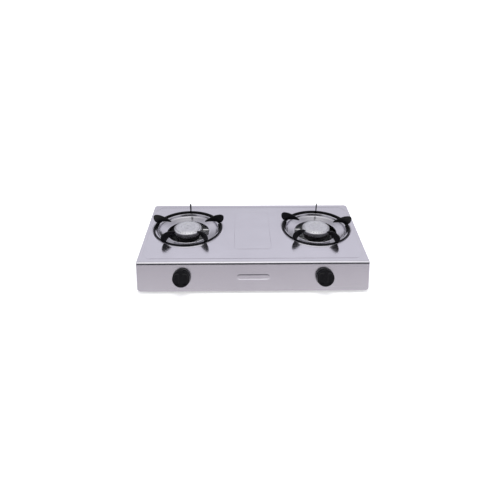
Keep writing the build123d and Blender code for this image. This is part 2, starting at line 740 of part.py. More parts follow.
def make_burner_bracket(side, x):
    """A folded strap from the tray's floor to the underside of the burner head."""
    foot_z, head_z, gauge = TRAY_FLOOR_TOP, TOP_Z + HEAD_BOTTOM, 1.5
    web_y = BURNER_Y + 18
    with BuildPart() as bracket:
        with BuildSketch(Plane.YZ.offset(x - 20)):
            with Locations((web_y - 14, foot_z + 0.6)):
                Rectangle(28, 1.2)
            with Locations((web_y - 11, head_z - gauge / 2)):
                Rectangle(22, gauge)
            with Locations((web_y - gauge / 2, (foot_z + head_z) / 2)):
                Rectangle(gauge, head_z - foot_z)
        extrude(amount=40)
        add(burner_screws.part, mode=Mode.SUBTRACT)
        add(bracket_screws.part, mode=Mode.SUBTRACT)
    return save(bracket, f"{side}_burner_bracket")


# ---------------------------------------------------------------- ignition

ELECTRODE_Y = BURNER_Y + 20
ELECTRODE_Z = TOP_Z - 18.2
ELECTRODE_R = 3.25


def make_ignition(side, x):
    """Electrode, its bracket, the igniter and the lead between them."""
    inward = -SIDES[side]
    point_along = (inward, 0, 0)
    with BuildPart() as ceramic:
        with BuildSketch(Plane(origin=(x + inward * 49, ELECTRODE_Y, ELECTRODE_Z), z_dir=point_along)):
            Circle(ELECTRODE_R)
        extrude(amount=38)
        chamfer(ceramic.edges().filter_by(GeomType.CIRCLE), 0.5)
        with BuildSketch(Plane(origin=(x + inward * 47, ELECTRODE_Y, ELECTRODE_Z), z_dir=point_along)):
            Circle(0.8)
        extrude(amount=34, mode=Mode.SUBTRACT)
    save(ceramic, f"{side}_electrode_ceramic")

    tip_x, tip_z = x + inward * 45, TOP_Z - 9.0
    with BuildPart() as pin:
        with BuildLine() as route:
            FilletPolyline(
                (x + inward * 81, ELECTRODE_Y, ELECTRODE_Z),
                (tip_x, ELECTRODE_Y, ELECTRODE_Z),
                (tip_x, ELECTRODE_Y, tip_z),
                radius=2.5,
            )
        with BuildSketch(Plane(origin=route.line @ 0, z_dir=route.line % 0)):
            Circle(0.8)
        sweep(path=route.line)
    save(pin, f"{side}_electrode_pin")

    clip_x = x + inward * 75
    with BuildPart() as bracket:
        with BuildSketch(Plane(origin=(clip_x, ELECTRODE_Y, 0), x_dir=(0, inward, 0), z_dir=point_along)):
            with Locations((0, (TRAY_FLOOR_TOP + TOP_Z - 13.8) / 2)):
                Rectangle(14, TOP_Z - 13.8 - TRAY_FLOOR_TOP)
        extrude(amount=1.2)
        with BuildSketch(Plane.XY.offset(TRAY_FLOOR_TOP)):
            with Locations((clip_x + inward * 8, ELECTRODE_Y)):
                Rectangle(16, 14)
        extrude(amount=1.2)
        with BuildSketch(Plane(origin=(clip_x, ELECTRODE_Y, ELECTRODE_Z), z_dir=point_along)):
            Circle(ELECTRODE_R)
        extrude(amount=4, mode=Mode.SUBTRACT)
        add(bracket_screws.part, mode=Mode.SUBTRACT)
    save(bracket, f"{side}_electrode_bracket")

    box_x = x + inward * IGNITER_X
    with BuildPart() as igniter:
        with BuildSketch(fascia_plane(box_x, out=-18)):
            RectangleRounded(14, 17, 2)
        extrude(amount=-32)
        with BuildSketch(fascia_plane(box_x, out=-50)):
            Circle(3.2)
        extrude(amount=-5)
        with BuildSketch(fascia_plane(box_x, out=-18)):
            Circle(4)
        extrude(amount=6)
        with BuildSketch(fascia_plane(x + inward * (VALVE_R + IGNITER_X - 7) / 2, out=-26)):
            Rectangle(IGNITER_X - 7 - VALVE_R + 1.6, 8)
        extrude(amount=-8)
        with BuildSketch(fascia_plane(x, out=-20)):
            Circle(VALVE_R)
        extrude(amount=-30, mode=Mode.SUBTRACT)
        with BuildSketch(fascia_plane(box_x, out=-53)):
            Circle(LEAD_R)
        extrude(amount=-4, mode=Mode.SUBTRACT)
    save(igniter, f"{side}_piezo_igniter")

    start = Vector(x + inward * 87, ELECTRODE_Y, ELECTRODE_Z)
    end = valve_point(box_x, 0, -53)
    inside = fascia_plane(x).z_dir * -1
    points = [
        start,
        start + Vector(inward * 14, 0, 0),
        Vector(x + inward * 112, ELECTRODE_Y - 26, 50),
        Vector(x + inward * 108, ELECTRODE_Y - 70, 30),
        Vector(x + inward * 72, ELECTRODE_Y - 118, 19),
        end + inside * 16,
        end,
    ]
    with BuildPart() as lead:
        with BuildLine() as route:
            FilletPolyline(*points, radius=lead_radii(points))
        with BuildSketch(Plane(origin=route.line @ 0, z_dir=route.line % 0)):
            Circle(LEAD_R)
        sweep(path=route.line)
    length = sum(edge.length for edge in route.edges())
    print(f"{side} lead {length:.0f} mm, volume ratio {lead.part.volume / (pi * LEAD_R**2 * length):.4f}")
    save(lead, f"{side}_ignition_lead")


def lead_radii(points):
    """The largest tangent arc that each corner of a lead's route has room for."""
    radii = []
    for before, corner, after in zip(points, points[1:], points[2:]):
        first, second = corner - before, after - corner
        turn = radians(first.get_angle(second))
        radii.append(0.45 * min(first.length, second.length) / tan(turn / 2))
    print("lead radii", [round(radius, 1) for radius in radii])
    return radii


# ---------------------------------------------------------------- valves and knobs


def bonnet_screw_planes(x):
    """Two screws that hold the bonnet on the valve body, one each side of the spindle."""
    return [
        Plane(
            origin=fascia_plane(x).from_local_coords(Vector(dx, 0, BONNET_TOP)),
            x_dir=(1, 0, 0),
            z_dir=fascia_plane(x).z_dir,
        )
        for dx in (-9.4, 9.4)
    ]


bonnet_screws = pan_screws(
    [plane for sign in SIDES.values() for plane in bonnet_screw_planes(sign * BURNER_X)],
    2.2,
    1.4,
    1.2,
    8.0,
)
save(bonnet_screws, "bonnet_screws")


def make_valve(side, x):
    """Valve body on the rail, its bonnet, the taper plug in it, and the jet."""
    outlet_start = 146.0
    with BuildPart() as body:
        with BuildSketch(fascia_plane(x, out=BONNET_TOP - BONNET_SHEET)):
            Circle(VALVE_R)
        extrude(amount=VALVE_END - BONNET_TOP + BONNET_SHEET)
        saddle = fascia_plane(x, out=-RAIL_BEHIND)
        with BuildSketch(Plane(origin=saddle.origin, x_dir=(1, 0, 0), z_dir=-saddle.y_dir)):
            Circle(7.5)
        extrude(amount=RAIL_BELOW)
        with BuildSketch(tube_plane(x, outlet_start)):
            Circle(6.5)
        extrude(amount=30)
        add(rail_solid.part, mode=Mode.SUBTRACT)
        # Taper seat for the plug, and the room in front of it
        with BuildSketch(fascia_plane(x, out=BONNET_TOP)):
            Circle(PLUG_TOP_R + RUNNING_GAP)
        extrude(amount=PLUG_TOP - BONNET_TOP, mode=Mode.SUBTRACT)
        with BuildSketch(fascia_plane(x, out=PLUG_TOP)):
            Circle(PLUG_TOP_R + RUNNING_GAP)
        with BuildSketch(fascia_plane(x, out=PLUG_END)):
            Circle(PLUG_END_R + RUNNING_GAP)
        loft(mode=Mode.SUBTRACT)
        # Gas ways: up from the rail, and on to the jet
        with BuildSketch(Plane(origin=saddle.origin, x_dir=(1, 0, 0), z_dir=-saddle.y_dir)):
            Circle(2.0)
        extrude(amount=RAIL_BELOW, mode=Mode.SUBTRACT)
        with BuildSketch(tube_plane(x, outlet_start)):
            Circle(2.5)
        extrude(amount=26, mode=Mode.SUBTRACT)
        with BuildSketch(fascia_plane(x, out=PLUG_END + 1)):
            Circle(2.5)
        extrude(amount=-4.5, mode=Mode.SUBTRACT)
        with BuildSketch(tube_plane(x, outlet_start)):
            Circle(3.5)
        extrude(amount=5, mode=Mode.SUBTRACT)
        add(bonnet_screws.part, mode=Mode.SUBTRACT)
    save(body, f"{side}_valve_body")

    with BuildPart() as bonnet:
        with BuildSketch(fascia_plane(x, out=BONNET_TOP)):
            SlotOverall(27, 2 * VALVE_R - 1)
            Circle(VALVE_R)
            Circle(SPINDLE_R + RUNNING_GAP, mode=Mode.SUBTRACT)
        extrude(amount=-BONNET_SHEET)
        add(bonnet_screws.part, mode=Mode.SUBTRACT)
    save(bonnet, f"{side}_valve_bonnet")

    with BuildPart() as plug:
        with BuildSketch(fascia_plane(x, out=PLUG_TOP)):
            Circle(PLUG_TOP_R)
        with BuildSketch(fascia_plane(x, out=PLUG_END)):
            Circle(PLUG_END_R)
        loft()
        # Slot for the spindle's tongue
        with BuildSketch(fascia_plane(x, out=PLUG_TOP)):
            Rectangle(7.2, 2.12)
        extrude(amount=-9.5, mode=Mode.SUBTRACT)
        # Gas way: in at the side, out at the small end
        with BuildSketch(fascia_plane(x, out=PLUG_END)):
            Circle(2.2)
        extrude(amount=7, mode=Mode.SUBTRACT)
        port = fascia_plane(x, out=-35.5)
        with BuildSketch(Plane(origin=port.origin, x_dir=(0, sin(LEAN), cos(LEAN)), z_dir=(1, 0, 0))):
            Circle(1.5)
        extrude(amount=8, mode=Mode.SUBTRACT)
    save(plug, f"{side}_valve_plug")

    with BuildPart() as jet:
        with BuildSketch(tube_plane(x, CHAMBER_END + 2.5)):
            RegularPolygon(5.0, 6)
        extrude(amount=outlet_start - CHAMBER_END - 2.5)
        with BuildSketch(tube_plane(x, CHAMBER_END - 4)):
            Circle(3.2)
        extrude(amount=7)
        with BuildSketch(tube_plane(x, outlet_start)):
            Circle(3.5)
        extrude(amount=5)
        with BuildSketch(tube_plane(x, CHAMBER_END - 2)):
            Circle(1.6)
        extrude(amount=20, mode=Mode.SUBTRACT)
        with BuildSketch(tube_plane(x, CHAMBER_END - 5)):
            Circle(0.5)
        extrude(amount=6, mode=Mode.SUBTRACT)
    save(jet, f"{side}_jet")


def make_spindle_group(side, x):
    """The spindle, the cup that carries the return spring, the spring and the knob."""
    d_flat = 3.0
    # The round part stops short of the plug by more than the knob's push, and a tongue
    # goes on into the plug's slot.
    shoulder, tongue_end = PLUG_TOP + PUSH + 0.6, PLUG_TOP - 5.0
    with BuildPart() as spindle:
        with BuildSketch(fascia_plane(x, out=19)):
            Circle(SPINDLE_R)
            with Locations((0, d_flat + 2)):
                Rectangle(10, 4, mode=Mode.SUBTRACT)
        extrude(amount=-15)
        with BuildSketch(fascia_plane(x, out=4)):
            Circle(SPINDLE_R)
        extrude(amount=shoulder - 4)
        with BuildSketch(fascia_plane(x, out=CUP_TOP + 1.2)):
            Circle(6.4)
        extrude(amount=-1.1)
        with BuildSketch(fascia_plane(x, out=shoulder)):
            Rectangle(6.9, 2.0)
        extrude(amount=tongue_end - shoulder)
    save(spindle, f"{side}_spindle")

    with BuildPart() as cup:
        with BuildSketch(fascia_plane(x, out=CUP_TOP)):
            Circle(CUP_R)
            Circle(SPINDLE_R + RUNNING_GAP, mode=Mode.SUBTRACT)
        extrude(amount=-CUP_SHEET)
        with BuildSketch(fascia_plane(x, out=CUP_TOP)):
            Circle(CUP_R)
            Circle(CUP_R - 0.8, mode=Mode.SUBTRACT)
        extrude(amount=-CUP_SHEET - 1.8)
    save(cup, f"{side}_spring_cup")

    height = CUP_TOP - CUP_SHEET - BONNET_TOP - 2 * SPRING_WIRE_R - 0.2
    base = fascia_plane(x, out=BONNET_TOP + SPRING_WIRE_R + 0.1)
    with BuildPart() as spring:
        with BuildLine() as coil:
            Helix(height / 4.5, height, SPRING_R, center=base.origin, direction=base.z_dir)
        with BuildSketch(Plane(origin=coil.line @ 0, z_dir=coil.line % 0)):
            Circle(SPRING_WIRE_R)
        sweep(path=coil.line, is_frenet=True)
    save(spring, f"{side}_return_spring")

    with BuildPart() as knob:
        with BuildSketch(fascia_plane(x, out=KNOB_BASE)):
            Circle(KNOB_R)
        extrude(amount=KNOB_HEIGHT - KNOB_BASE)
        face = knob.faces().sort_by(Axis(fascia_plane(x).origin, fascia_plane(x).z_dir))[-1]
        fillet(face.edges(), KNOB_EDGE_R)
        # Two shallow scoops leave a grip ridge across the face
        for sign in (-1, 1):
            scoop = fascia_plane(x, out=KNOB_HEIGHT)
            with BuildSketch(Plane(origin=scoop.origin, x_dir=(1, 0, 0), z_dir=scoop.y_dir)):
                with Locations((sign * 13.4, -1)):
                    Ellipse(9.2, KNOB_RIDGE * 1.5)
            extrude(amount=17, both=True, mode=Mode.SUBTRACT)
        # Hollow behind the face, with a hub for the spindle
        with BuildSketch(fascia_plane(x, out=KNOB_BASE)):
            Circle(KNOB_R - 2.4)
            Circle(7.5, mode=Mode.SUBTRACT)
        extrude(amount=10, mode=Mode.SUBTRACT)
        with BuildSketch(fascia_plane(x, out=KNOB_BASE - 2.5)):
            Circle(7.5)
        extrude(amount=4)
        with BuildSketch(fascia_plane(x, out=KNOB_BASE - 4)):
            Circle(SPINDLE_R)
            with Locations((0, d_flat + 2)):
                Rectangle(10, 4, mode=Mode.SUBTRACT)
        extrude(amount=19 - KNOB_BASE + 4, mode=Mode.SUBTRACT)
    save(knob, f"{side}_knob")

    with BuildPart() as bezel:
        with BuildSketch(fascia_plane(x)):
            Circle(BEZEL_R)
            Circle(9.5, mode=Mode.SUBTRACT)
        extrude(amount=BEZEL_HEIGHT)
        outer = bezel.edges().filter_by(GeomType.CIRCLE).sort_by(SortBy.RADIUS)[-2:]
        fillet(outer.sort_by(Axis(fascia_plane(x).origin, fascia_plane(x).z_dir))[-1], 1.6)
        with BuildSketch(fascia_plane(x, out=BEZEL_HEIGHT)):
            Circle(BEZEL_R - 4.2)
            Circle(9.5, mode=Mode.SUBTRACT)
        extrude(amount=-1.6, mode=Mode.SUBTRACT)
    save(bezel, f"{side}_knob_bezel")


for side, sign in SIDES.items():
    axis_x = sign * BURNER_X
    make_drip_bowl(side, axis_x)
    make_pan_support(side, axis_x)
    make_burner_cap(side, axis_x)
    make_burner_body(side, axis_x)
    make_air_shutter(side, axis_x)
    make_burner_bracket(side, axis_x)
    make_ignition(side, axis_x)
    make_valve(side, axis_x)
    make_spindle_group(side, axis_x)
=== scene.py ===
"""Finishes, finer surfaces, floor, light and camera for a table-top gas stove with two burners.

Positions are in millimetres in the CAD's frame until a mesh is made, and in metres after.
"""

import json
from functools import partial
from math import cos, hypot, pi, radians, sin, sqrt, tan

import bmesh
import bpy
from mathutils import Matrix, Vector
from mathutils.geometry import tessellate_polygon


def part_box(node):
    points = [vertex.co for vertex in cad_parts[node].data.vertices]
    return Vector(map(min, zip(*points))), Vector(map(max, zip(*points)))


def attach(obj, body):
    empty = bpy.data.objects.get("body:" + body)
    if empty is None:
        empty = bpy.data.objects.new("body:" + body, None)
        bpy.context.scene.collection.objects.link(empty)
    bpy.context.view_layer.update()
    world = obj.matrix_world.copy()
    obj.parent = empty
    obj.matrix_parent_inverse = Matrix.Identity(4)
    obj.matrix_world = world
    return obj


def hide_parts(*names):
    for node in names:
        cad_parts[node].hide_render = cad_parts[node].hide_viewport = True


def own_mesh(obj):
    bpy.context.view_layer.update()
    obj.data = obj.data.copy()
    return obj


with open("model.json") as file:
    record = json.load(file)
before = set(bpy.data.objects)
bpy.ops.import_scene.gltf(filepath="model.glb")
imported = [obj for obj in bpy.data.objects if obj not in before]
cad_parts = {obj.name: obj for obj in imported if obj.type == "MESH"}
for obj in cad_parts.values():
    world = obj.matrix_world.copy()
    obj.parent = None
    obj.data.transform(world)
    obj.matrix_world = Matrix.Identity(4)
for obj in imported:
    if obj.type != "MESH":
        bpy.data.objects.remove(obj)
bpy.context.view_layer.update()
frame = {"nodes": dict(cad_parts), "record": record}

MM = 0.001
SIDES = {"left": -1, "right": 1}
SLOT_OF = {part["node"]: part["material_slot"] for part in frame["record"]["subparts"]}

# Casing, as in the CAD
casing_low, casing_high = [[value / MM for value in corner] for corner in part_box("top_casing")]
HALF = casing_high[0]
BACK_Y = casing_high[1]
TOP_DEPTH = 366.0
TOP_Z = 90.0
BOTTOM_Z = casing_low[2]
FRONT_Y = BACK_Y - TOP_DEPTH
LEAN = radians(22)
SHEET = 0.8
CORNER_R, BEND_R, RIM_R = 11.0, 10.5, 2.0
FIELD_FRONT, FIELD_BACK, FIELD_SIDE = 21.0, 19.0, 11.0
FIELD_CUT_X, FIELD_CUT_Y, FIELD_R = 19.0, 25.0, 9.0
PLATE_WIDTH, PLATE_LENGTH, PLATE_R, PLATE_SETBACK = 116.0, 236.0, 11.0, 190.0
BADGE_WIDTH, BADGE_HEIGHT = 100.0, 18.0
# Pressed steps: their heights, and the distances that their slopes take up
FIELD_RISE, PLATE_RISE, BADGE_RISE = 0.6, 0.5, 0.25
FIELD_STEP, PLATE_STEP, BADGE_STEP = 0.5, 0.5, 5.0
REAR_STEP = 6.0  # for the rear edge of the field
BADGE_FOOT = 0.6  # how far the badge's slope starts outside its outline
BOWL_HOLE_R = 106.5
# The bead round each burner opening: (radius, height) from its foot inside to the field
SEAT_BEAD = [(113.3, 0.0), (113.7, 0.5), (114.3, 1.5), (115.0, 1.95), (115.8, 1.9), (117.0, 1.5)]
SEAT_BEAD += [(118.5, 1.0), (120.0, 0.7), (121.5, FIELD_RISE)]
SPINDLE_HOLE_R = 8.5
KNOB_SLANT = 45.0
SIDE_SCREW_SETBACKS, SIDE_SCREW_Z, SIDE_SCREW_R = (40.0, 190.0, 330.0), 22.5, 3.0
BACK_SCREWS = [(-332, 30), (-332, 68), (332, 30), (332, 68), (-120, 80), (120, 80)]
BACK_SCREW_R = 1.6
WINDOW_MARGIN, WINDOW_TOP = 25.0, 76.0  # the opening for the back panel
GUARD = 0.5  # width of the flat row beside each curved one, which keeps its shading flat

burner_low, burner_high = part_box("right_burner_cap")
BURNER_X = (burner_low[0] + burner_high[0]) / 2 / MM
BURNER_Y = (burner_low[1] + burner_high[1]) / 2 / MM


# ---------------------------------------------------------------- mesh making


class Surface:
    """Points and faces of one piece, in millimetres."""

    def __init__(self):
        self.points = []
        self.faces = []

    def add(self, points):
        """Keep the points, and give their numbers."""
        start = len(self.points)
        self.points += [tuple(point) for point in points]
        return list(range(start, len(self.points)))

    def strip(self, first, second, closed=False):
        """Quads between two rows with the same number of points."""
        count = len(first)
        for i in range(count if closed else count - 1):
            j = (i + 1) % count
            self.faces.append((first[i], first[j], second[j], second[i]))

    def rows(self, rows, closed=False):
        """Rows of points with a strip between each two neighbours."""
        indices = [self.add(row) for row in rows]
        for first, second in zip(indices, indices[1:]):
            self.strip(first, second, closed)
        return indices

    def fill(self, loops, place):
        """A flat region inside the first loop and outside the others, drawn in two
        dimensions and put in place by a function."""
        flat = [[Vector((x, y, 0)) for x, y in loop] for loop in loops]
        every = [point for loop in loops for point in loop]
        index = self.add([place(x, y) for x, y in every])
        for triangle in tessellate_polygon(flat):
            self.faces.append(tuple(index[i] for i in triangle))

    def piece(self, name, angle=35, matrix=None, thickness=0.0, weld=0.002):
        """The finished object: joined, facing outward, smooth below the given angle."""
        mesh = bpy.data.meshes.new(name)
        mesh.from_pydata([Vector(p) * MM for p in self.points], [], self.faces)
        shape = bmesh.new()
        shape.from_mesh(mesh)
        bmesh.ops.remove_doubles(shape, verts=shape.verts, dist=weld * MM)
        bmesh.ops.dissolve_degenerate(shape, edges=shape.edges, dist=1e-7)
        bmesh.ops.recalc_face_normals(shape, faces=shape.faces)
        shape.to_mesh(mesh)
        shape.free()
        if matrix is not None:
            mesh.transform(matrix)
        obj = bpy.data.objects.new(name, mesh)
        bpy.context.scene.collection.objects.link(obj)
        if thickness:
            shell = obj.modifiers.new("sheet", "SOLIDIFY")
            shell.thickness = thickness * MM
            shell.offset = -1
            shell.use_even_offset = True
            graph = bpy.context.evaluated_depsgraph_get()
            solid = bpy.data.meshes.new_from_object(obj.evaluated_get(graph))
            obj.modifiers.clear()
            obj.data = solid
        for face in obj.data.polygons:
            face.use_smooth = True
        obj.data.set_sharp_from_angle(angle=radians(angle))
        return obj


def arc(cx, cy, radius, start, end, steps):
    """Points on an arc, angles in degrees."""
    turns = [radians(start + (end - start) * i / steps) for i in range(steps + 1)]
    return [(cx + radius * cos(t), cy + radius * sin(t)) for t in turns]


def circle(cx, cy, radius, steps):
    """Points on a full circle, the first of them not repeated."""
    return arc(cx, cy, radius, 0, 360, steps)[:-1]


def rounded_loop(corners, radius, inset, steps=6):
    """A convex outline with rounded corners, drawn inset inside its own line. Every
    inset gives the same number of points, so that two loops join into a strip."""
    loop = []
    count = len(corners)
    for i, corner in enumerate(corners):
        before, after = Vector(corners[i - 1]), Vector(corners[(i + 1) % count])
        here = Vector(corner)
        to_before, to_after = (before - here).normalized(), (after - here).normalized()
        half = to_before.angle(to_after) / 2
        centre = here + (to_before + to_after).normalized() * radius / sin(half)
        out_a = Vector((to_before.y, -to_before.x))
        if out_a.dot(centre - here) > 0:
            out_a = -out_a
        out_b = Vector((to_after.y, -to_after.x))
        if out_b.dot(centre - here) > 0:
            out_b = -out_b
        sweep = out_a.angle_signed(out_b)
        for k in range(steps + 1):
            turned = out_a.copy()
            turned.rotate(Matrix.Rotation(-sweep * k / steps, 2))
            loop.append(tuple(centre + turned * (radius - inset)))
    return loop


def pressing_steps(width, rise, count=8):
    """(distance across, height) of a soft step, with a flat guard row at each end."""
    steps = [(-GUARD, 0.0)]
    steps += [(width * i / count, rise * (1 - cos(pi * i / count)) / 2) for i in range(count + 1)]
    return steps + [(width + GUARD, rise)]


def revolved(profile, steps=144, closed=True):
    """Rows of points for (radius, height) pairs turned about the Z axis."""
    surface = Surface()
    rows = []
    for radius, height in profile:
        turns = [2 * pi * i / steps for i in range(steps)]
        rows.append([(radius * cos(t), radius * sin(t), height) for t in turns])
    if closed:
        rows.append(rows[0])
    surface.rows(rows, closed=True)
    return surface


def smooth_line(points, steps=4, pull=0.8):
    """More points on a smooth curve through the given ones. The pull says how far the
    curve bulges between them."""
    line = []
    for i in range(len(points) - 1):
        before = Vector(points[max(i - 1, 0)])
        start, end = Vector(points[i]), Vector(points[i + 1])
        after = Vector(points[min(i + 2, len(points) - 1)])
        span = (end - start).length
        lead_in = (end - before) * span / max((end - before).length, 1e-9)
        lead_out = (after - start) * span / max((after - start).length, 1e-9)
        for k in range(steps):
            t = k / steps
            line.append(
                tuple(
                    start * (2 * t**3 - 3 * t**2 + 1)
                    + lead_in * (t**3 - 2 * t**2 + t) * pull
                    + end * (3 * t**2 - 2 * t**3)
                    + lead_out * (t**3 - t**2) * pull
                )
            )
    return line + [tuple(points[-1])]


def burner_matrix(side):
    """The burner's frame: its axis is vertical and its zero is the worktop's surface."""
    return Matrix.Translation(Vector((SIDES[side] * BURNER_X, BURNER_Y, TOP_Z)) * MM)


def fascia_point(x, slant, out=0.0):
    """A point on the fascia, slant below the sheet's virtual front edge."""
    return (
        x,
        FRONT_Y - slant * sin(LEAN) - out * cos(LEAN),
        TOP_Z - slant * cos(LEAN) + out * sin(LEAN),
    )


def knob_matrix(side):
    """The knob's frame: its z points out of the fascia and its y up the slope."""
    x_axis = Vector((1, 0, 0))
    z_axis = Vector((0, -cos(LEAN), sin(LEAN)))
    y_axis = z_axis.cross(x_axis)
    turned = Matrix((x_axis, y_axis, z_axis)).transposed().to_4x4()
    origin = Vector(fascia_point(SIDES[side] * BURNER_X, KNOB_SLANT)) * MM
    return Matrix.Translation(origin) @ turned


# ---------------------------------------------------------------- casing

BEND_TURN = pi / 2 - LEAN
BEND_REACH = BEND_R * tan(BEND_TURN / 2)
FLAT_X = HALF - RIM_R
FLAT_FRONT_Y = FRONT_Y + BEND_REACH
CORNER_Y = BACK_Y - CORNER_R
CORNER_X = HALF - CORNER_R
FLAT_EDGE = FLAT_X - GUARD


def lower_edge(x):
    """Height of the sheet's lower edge, which rises round the lower corners."""
    over = min(max(abs(x) - CORNER_X, 0.0), CORNER_R)
    return BOTTOM_Z + CORNER_R - sqrt(CORNER_R**2 - over**2)


def profile_stations(x, inset, steps=16):
    """(y, z) down the casing's front at one x: the worktop, the bend and the fascia."""
    centre_y, centre_z = FLAT_FRONT_Y, TOP_Z - BEND_R
    radius = BEND_R - inset
    line = [(CORNER_Y, TOP_Z - inset), (FLAT_FRONT_Y + GUARD, TOP_Z - inset)]
    for i in range(steps + 1):
        turn = BEND_TURN * i / steps
        line.append((centre_y - radius * sin(turn), centre_z + radius * cos(turn)))
    for slant in (BEND_REACH + GUARD, (TOP_Z - inset * sin(LEAN) - lower_edge(x)) / cos(LEAN)):
        point = fascia_point(x, slant, -inset)
        line.append((point[1], point[2]))
    return line


def rim_columns(steps=6):
    """(reach, drop) round the rim, with a flat guard column at each end."""
    turns = [pi / 2 * i / steps for i in range(steps + 1)]
    columns = [(-GUARD, 0.0)]
    columns += [(RIM_R * sin(turn), RIM_R * (1 - cos(turn))) for turn in turns]
    return columns + [(RIM_R, RIM_R + GUARD)]


def field_corners(across):
    """The field's outline; its rear edge steps over a wider distance than the rest."""
    share = min(max(across / FIELD_STEP, 0.0), 1.0)
    side, cut = HALF - FIELD_SIDE, HALF - FIELD_SIDE - FIELD_CUT_X
    front, back = FRONT_Y + FIELD_FRONT, BACK_Y - FIELD_BACK + REAR_STEP * (0.5 - share)
    low, high = front + FIELD_CUT_Y, back - FIELD_CUT_Y
    return [
        (-cut, front),
        (cut, front),
        (side, low),
        (side, high),
        (cut, back),
        (-cut, back),
        (-side, high),
        (-side, low),
    ]


def plate_corners():
    """The outline of the long plate between the burners."""
    x, middle, y = PLATE_WIDTH / 2, FRONT_Y + PLATE_SETBACK, PLATE_LENGTH / 2
    return [(-x, middle - y), (x, middle - y), (x, middle + y), (-x, middle + y)]


def plan(row):
    """A row of points seen from above."""
    return [(point[0], point[1]) for point in row]


def add_worktop(sheet):
    """The level sheet: its margin, the field, the plate and a bead round each burner."""
    outline = [(-FLAT_EDGE, FLAT_FRONT_Y + GUARD), (FLAT_EDGE, FLAT_FRONT_Y + GUARD)]
    corner = CORNER_R - RIM_R - GUARD
    outline += arc(CORNER_X, CORNER_Y, corner, 0, 90, steps=12)
    outline += arc(-CORNER_X, CORNER_Y, corner, 90, 180, steps=12)
    field, plate, beads = [], [], []
    for across, height in pressing_steps(FIELD_STEP, FIELD_RISE):
        loop = rounded_loop(field_corners(across), FIELD_R, across - FIELD_STEP / 2)
        field.append([(x, y, TOP_Z + height) for x, y in loop])
    for across, height in pressing_steps(PLATE_STEP, PLATE_RISE):
        loop = rounded_loop(plate_corners(), PLATE_R, across - PLATE_STEP / 2, steps=10)
        plate.append([(x, y, TOP_Z + FIELD_RISE + height) for x, y in loop])
    inside = [(BOWL_HOLE_R, 0.0), (SEAT_BEAD[0][0] - GUARD, 0.0)]
    outside = [(SEAT_BEAD[-1][0] + GUARD, FIELD_RISE)]
    for sign in SIDES.values():
        bead = []
        for radius, height in inside + SEAT_BEAD + outside:
            loop = circle(sign * BURNER_X, BURNER_Y, radius, steps=160)
            bead.append([(x, y, TOP_Z + height) for x, y in loop])
        beads.append(bead)
    for rows in [field, plate, *beads]:
        sheet.rows(rows, closed=True)
    sheet.fill([outline, plan(field[0])], lambda x, y: (x, y, TOP_Z))
    inner = [plan(field[-1]), plan(plate[0]), *[plan(bead[-1]) for bead in beads]]
    sheet.fill(inner, lambda x, y: (x, y, TOP_Z + FIELD_RISE))
    sheet.fill([plan(plate[-1])], lambda x, y: (x, y, TOP_Z + FIELD_RISE + PLATE_RISE))


def add_front_bend(sheet):
    """The rounded edge between the worktop and the fascia."""
    profile = profile_stations(-FLAT_EDGE, 0.0)[1:-1]
    sheet.rows([[(-FLAT_EDGE, y, z), (FLAT_EDGE, y, z)] for y, z in profile])


def add_fascia(sheet):
    """The sloping front, with the badge and the spindle holes."""
    top = BEND_REACH + GUARD
    border = [(FLAT_EDGE, top), (-FLAT_EDGE, top)]
    steps = 8
    corner = [-CORNER_X - (FLAT_EDGE - CORNER_X) * i / steps for i in range(steps - 1, -1, -1)]
    lower = [-FLAT_EDGE, *corner]
    lower += [-x for x in reversed(lower)]
    border += [(x, (TOP_Z - lower_edge(x)) / cos(LEAN)) for x in lower]
    badge, badge_loops = [], []
    straight = (BADGE_WIDTH - BADGE_HEIGHT) / 2
    for across, height in pressing_steps(BADGE_STEP, BADGE_RISE):
        radius = BADGE_HEIGHT / 2 - across + BADGE_FOOT
        ends = arc(straight, KNOB_SLANT, radius, -90, 90, steps=20)
        ends += arc(-straight, KNOB_SLANT, radius, 90, 270, steps=20)
        badge.append([fascia_point(x, slant, height) for x, slant in ends])
        badge_loops.append(ends)
    holes = [
        circle(sign * BURNER_X, KNOB_SLANT, SPINDLE_HOLE_R, steps=32) for sign in SIDES.values()
    ]
    sheet.rows(badge, closed=True)
    sheet.fill([border, badge_loops[0], *holes], fascia_point)
    sheet.fill([badge_loops[-1]], lambda x, slant: fascia_point(x, slant, BADGE_RISE))


def add_side(sheet, sign):
    """The rim along one side, the side wall below it, and the rear corner."""
    rows = []
    for reach, drop in rim_columns():
        x = FLAT_X + reach
        rows.append([(sign * x, y, z) for y, z in profile_stations(x, drop)])
    sheet.rows(rows)
    wall = [(y, z) for _, y, z in rows[-1]]
    wall += [(CORNER_Y, lower_edge(HALF))]
    screws = [
        circle(FRONT_Y + setback, SIDE_SCREW_Z, SIDE_SCREW_R, steps=20)
        for setback in SIDE_SCREW_SETBACKS
    ]
    sheet.fill([wall, *screws], lambda y, z: (sign * HALF, y, z))

    # The rim turns round the corner, and a cylinder drops from it
    patch = []
    for reach, drop in rim_columns():
        corner = arc(CORNER_X, CORNER_Y, CORNER_R - RIM_R + reach, 0, 90, steps=12)
        patch.append([(sign * x, y, TOP_Z - drop) for x, y in corner])
    patch.append([(x, y, lower_edge(x)) for x, y, _ in patch[-1]])
    sheet.rows(patch)


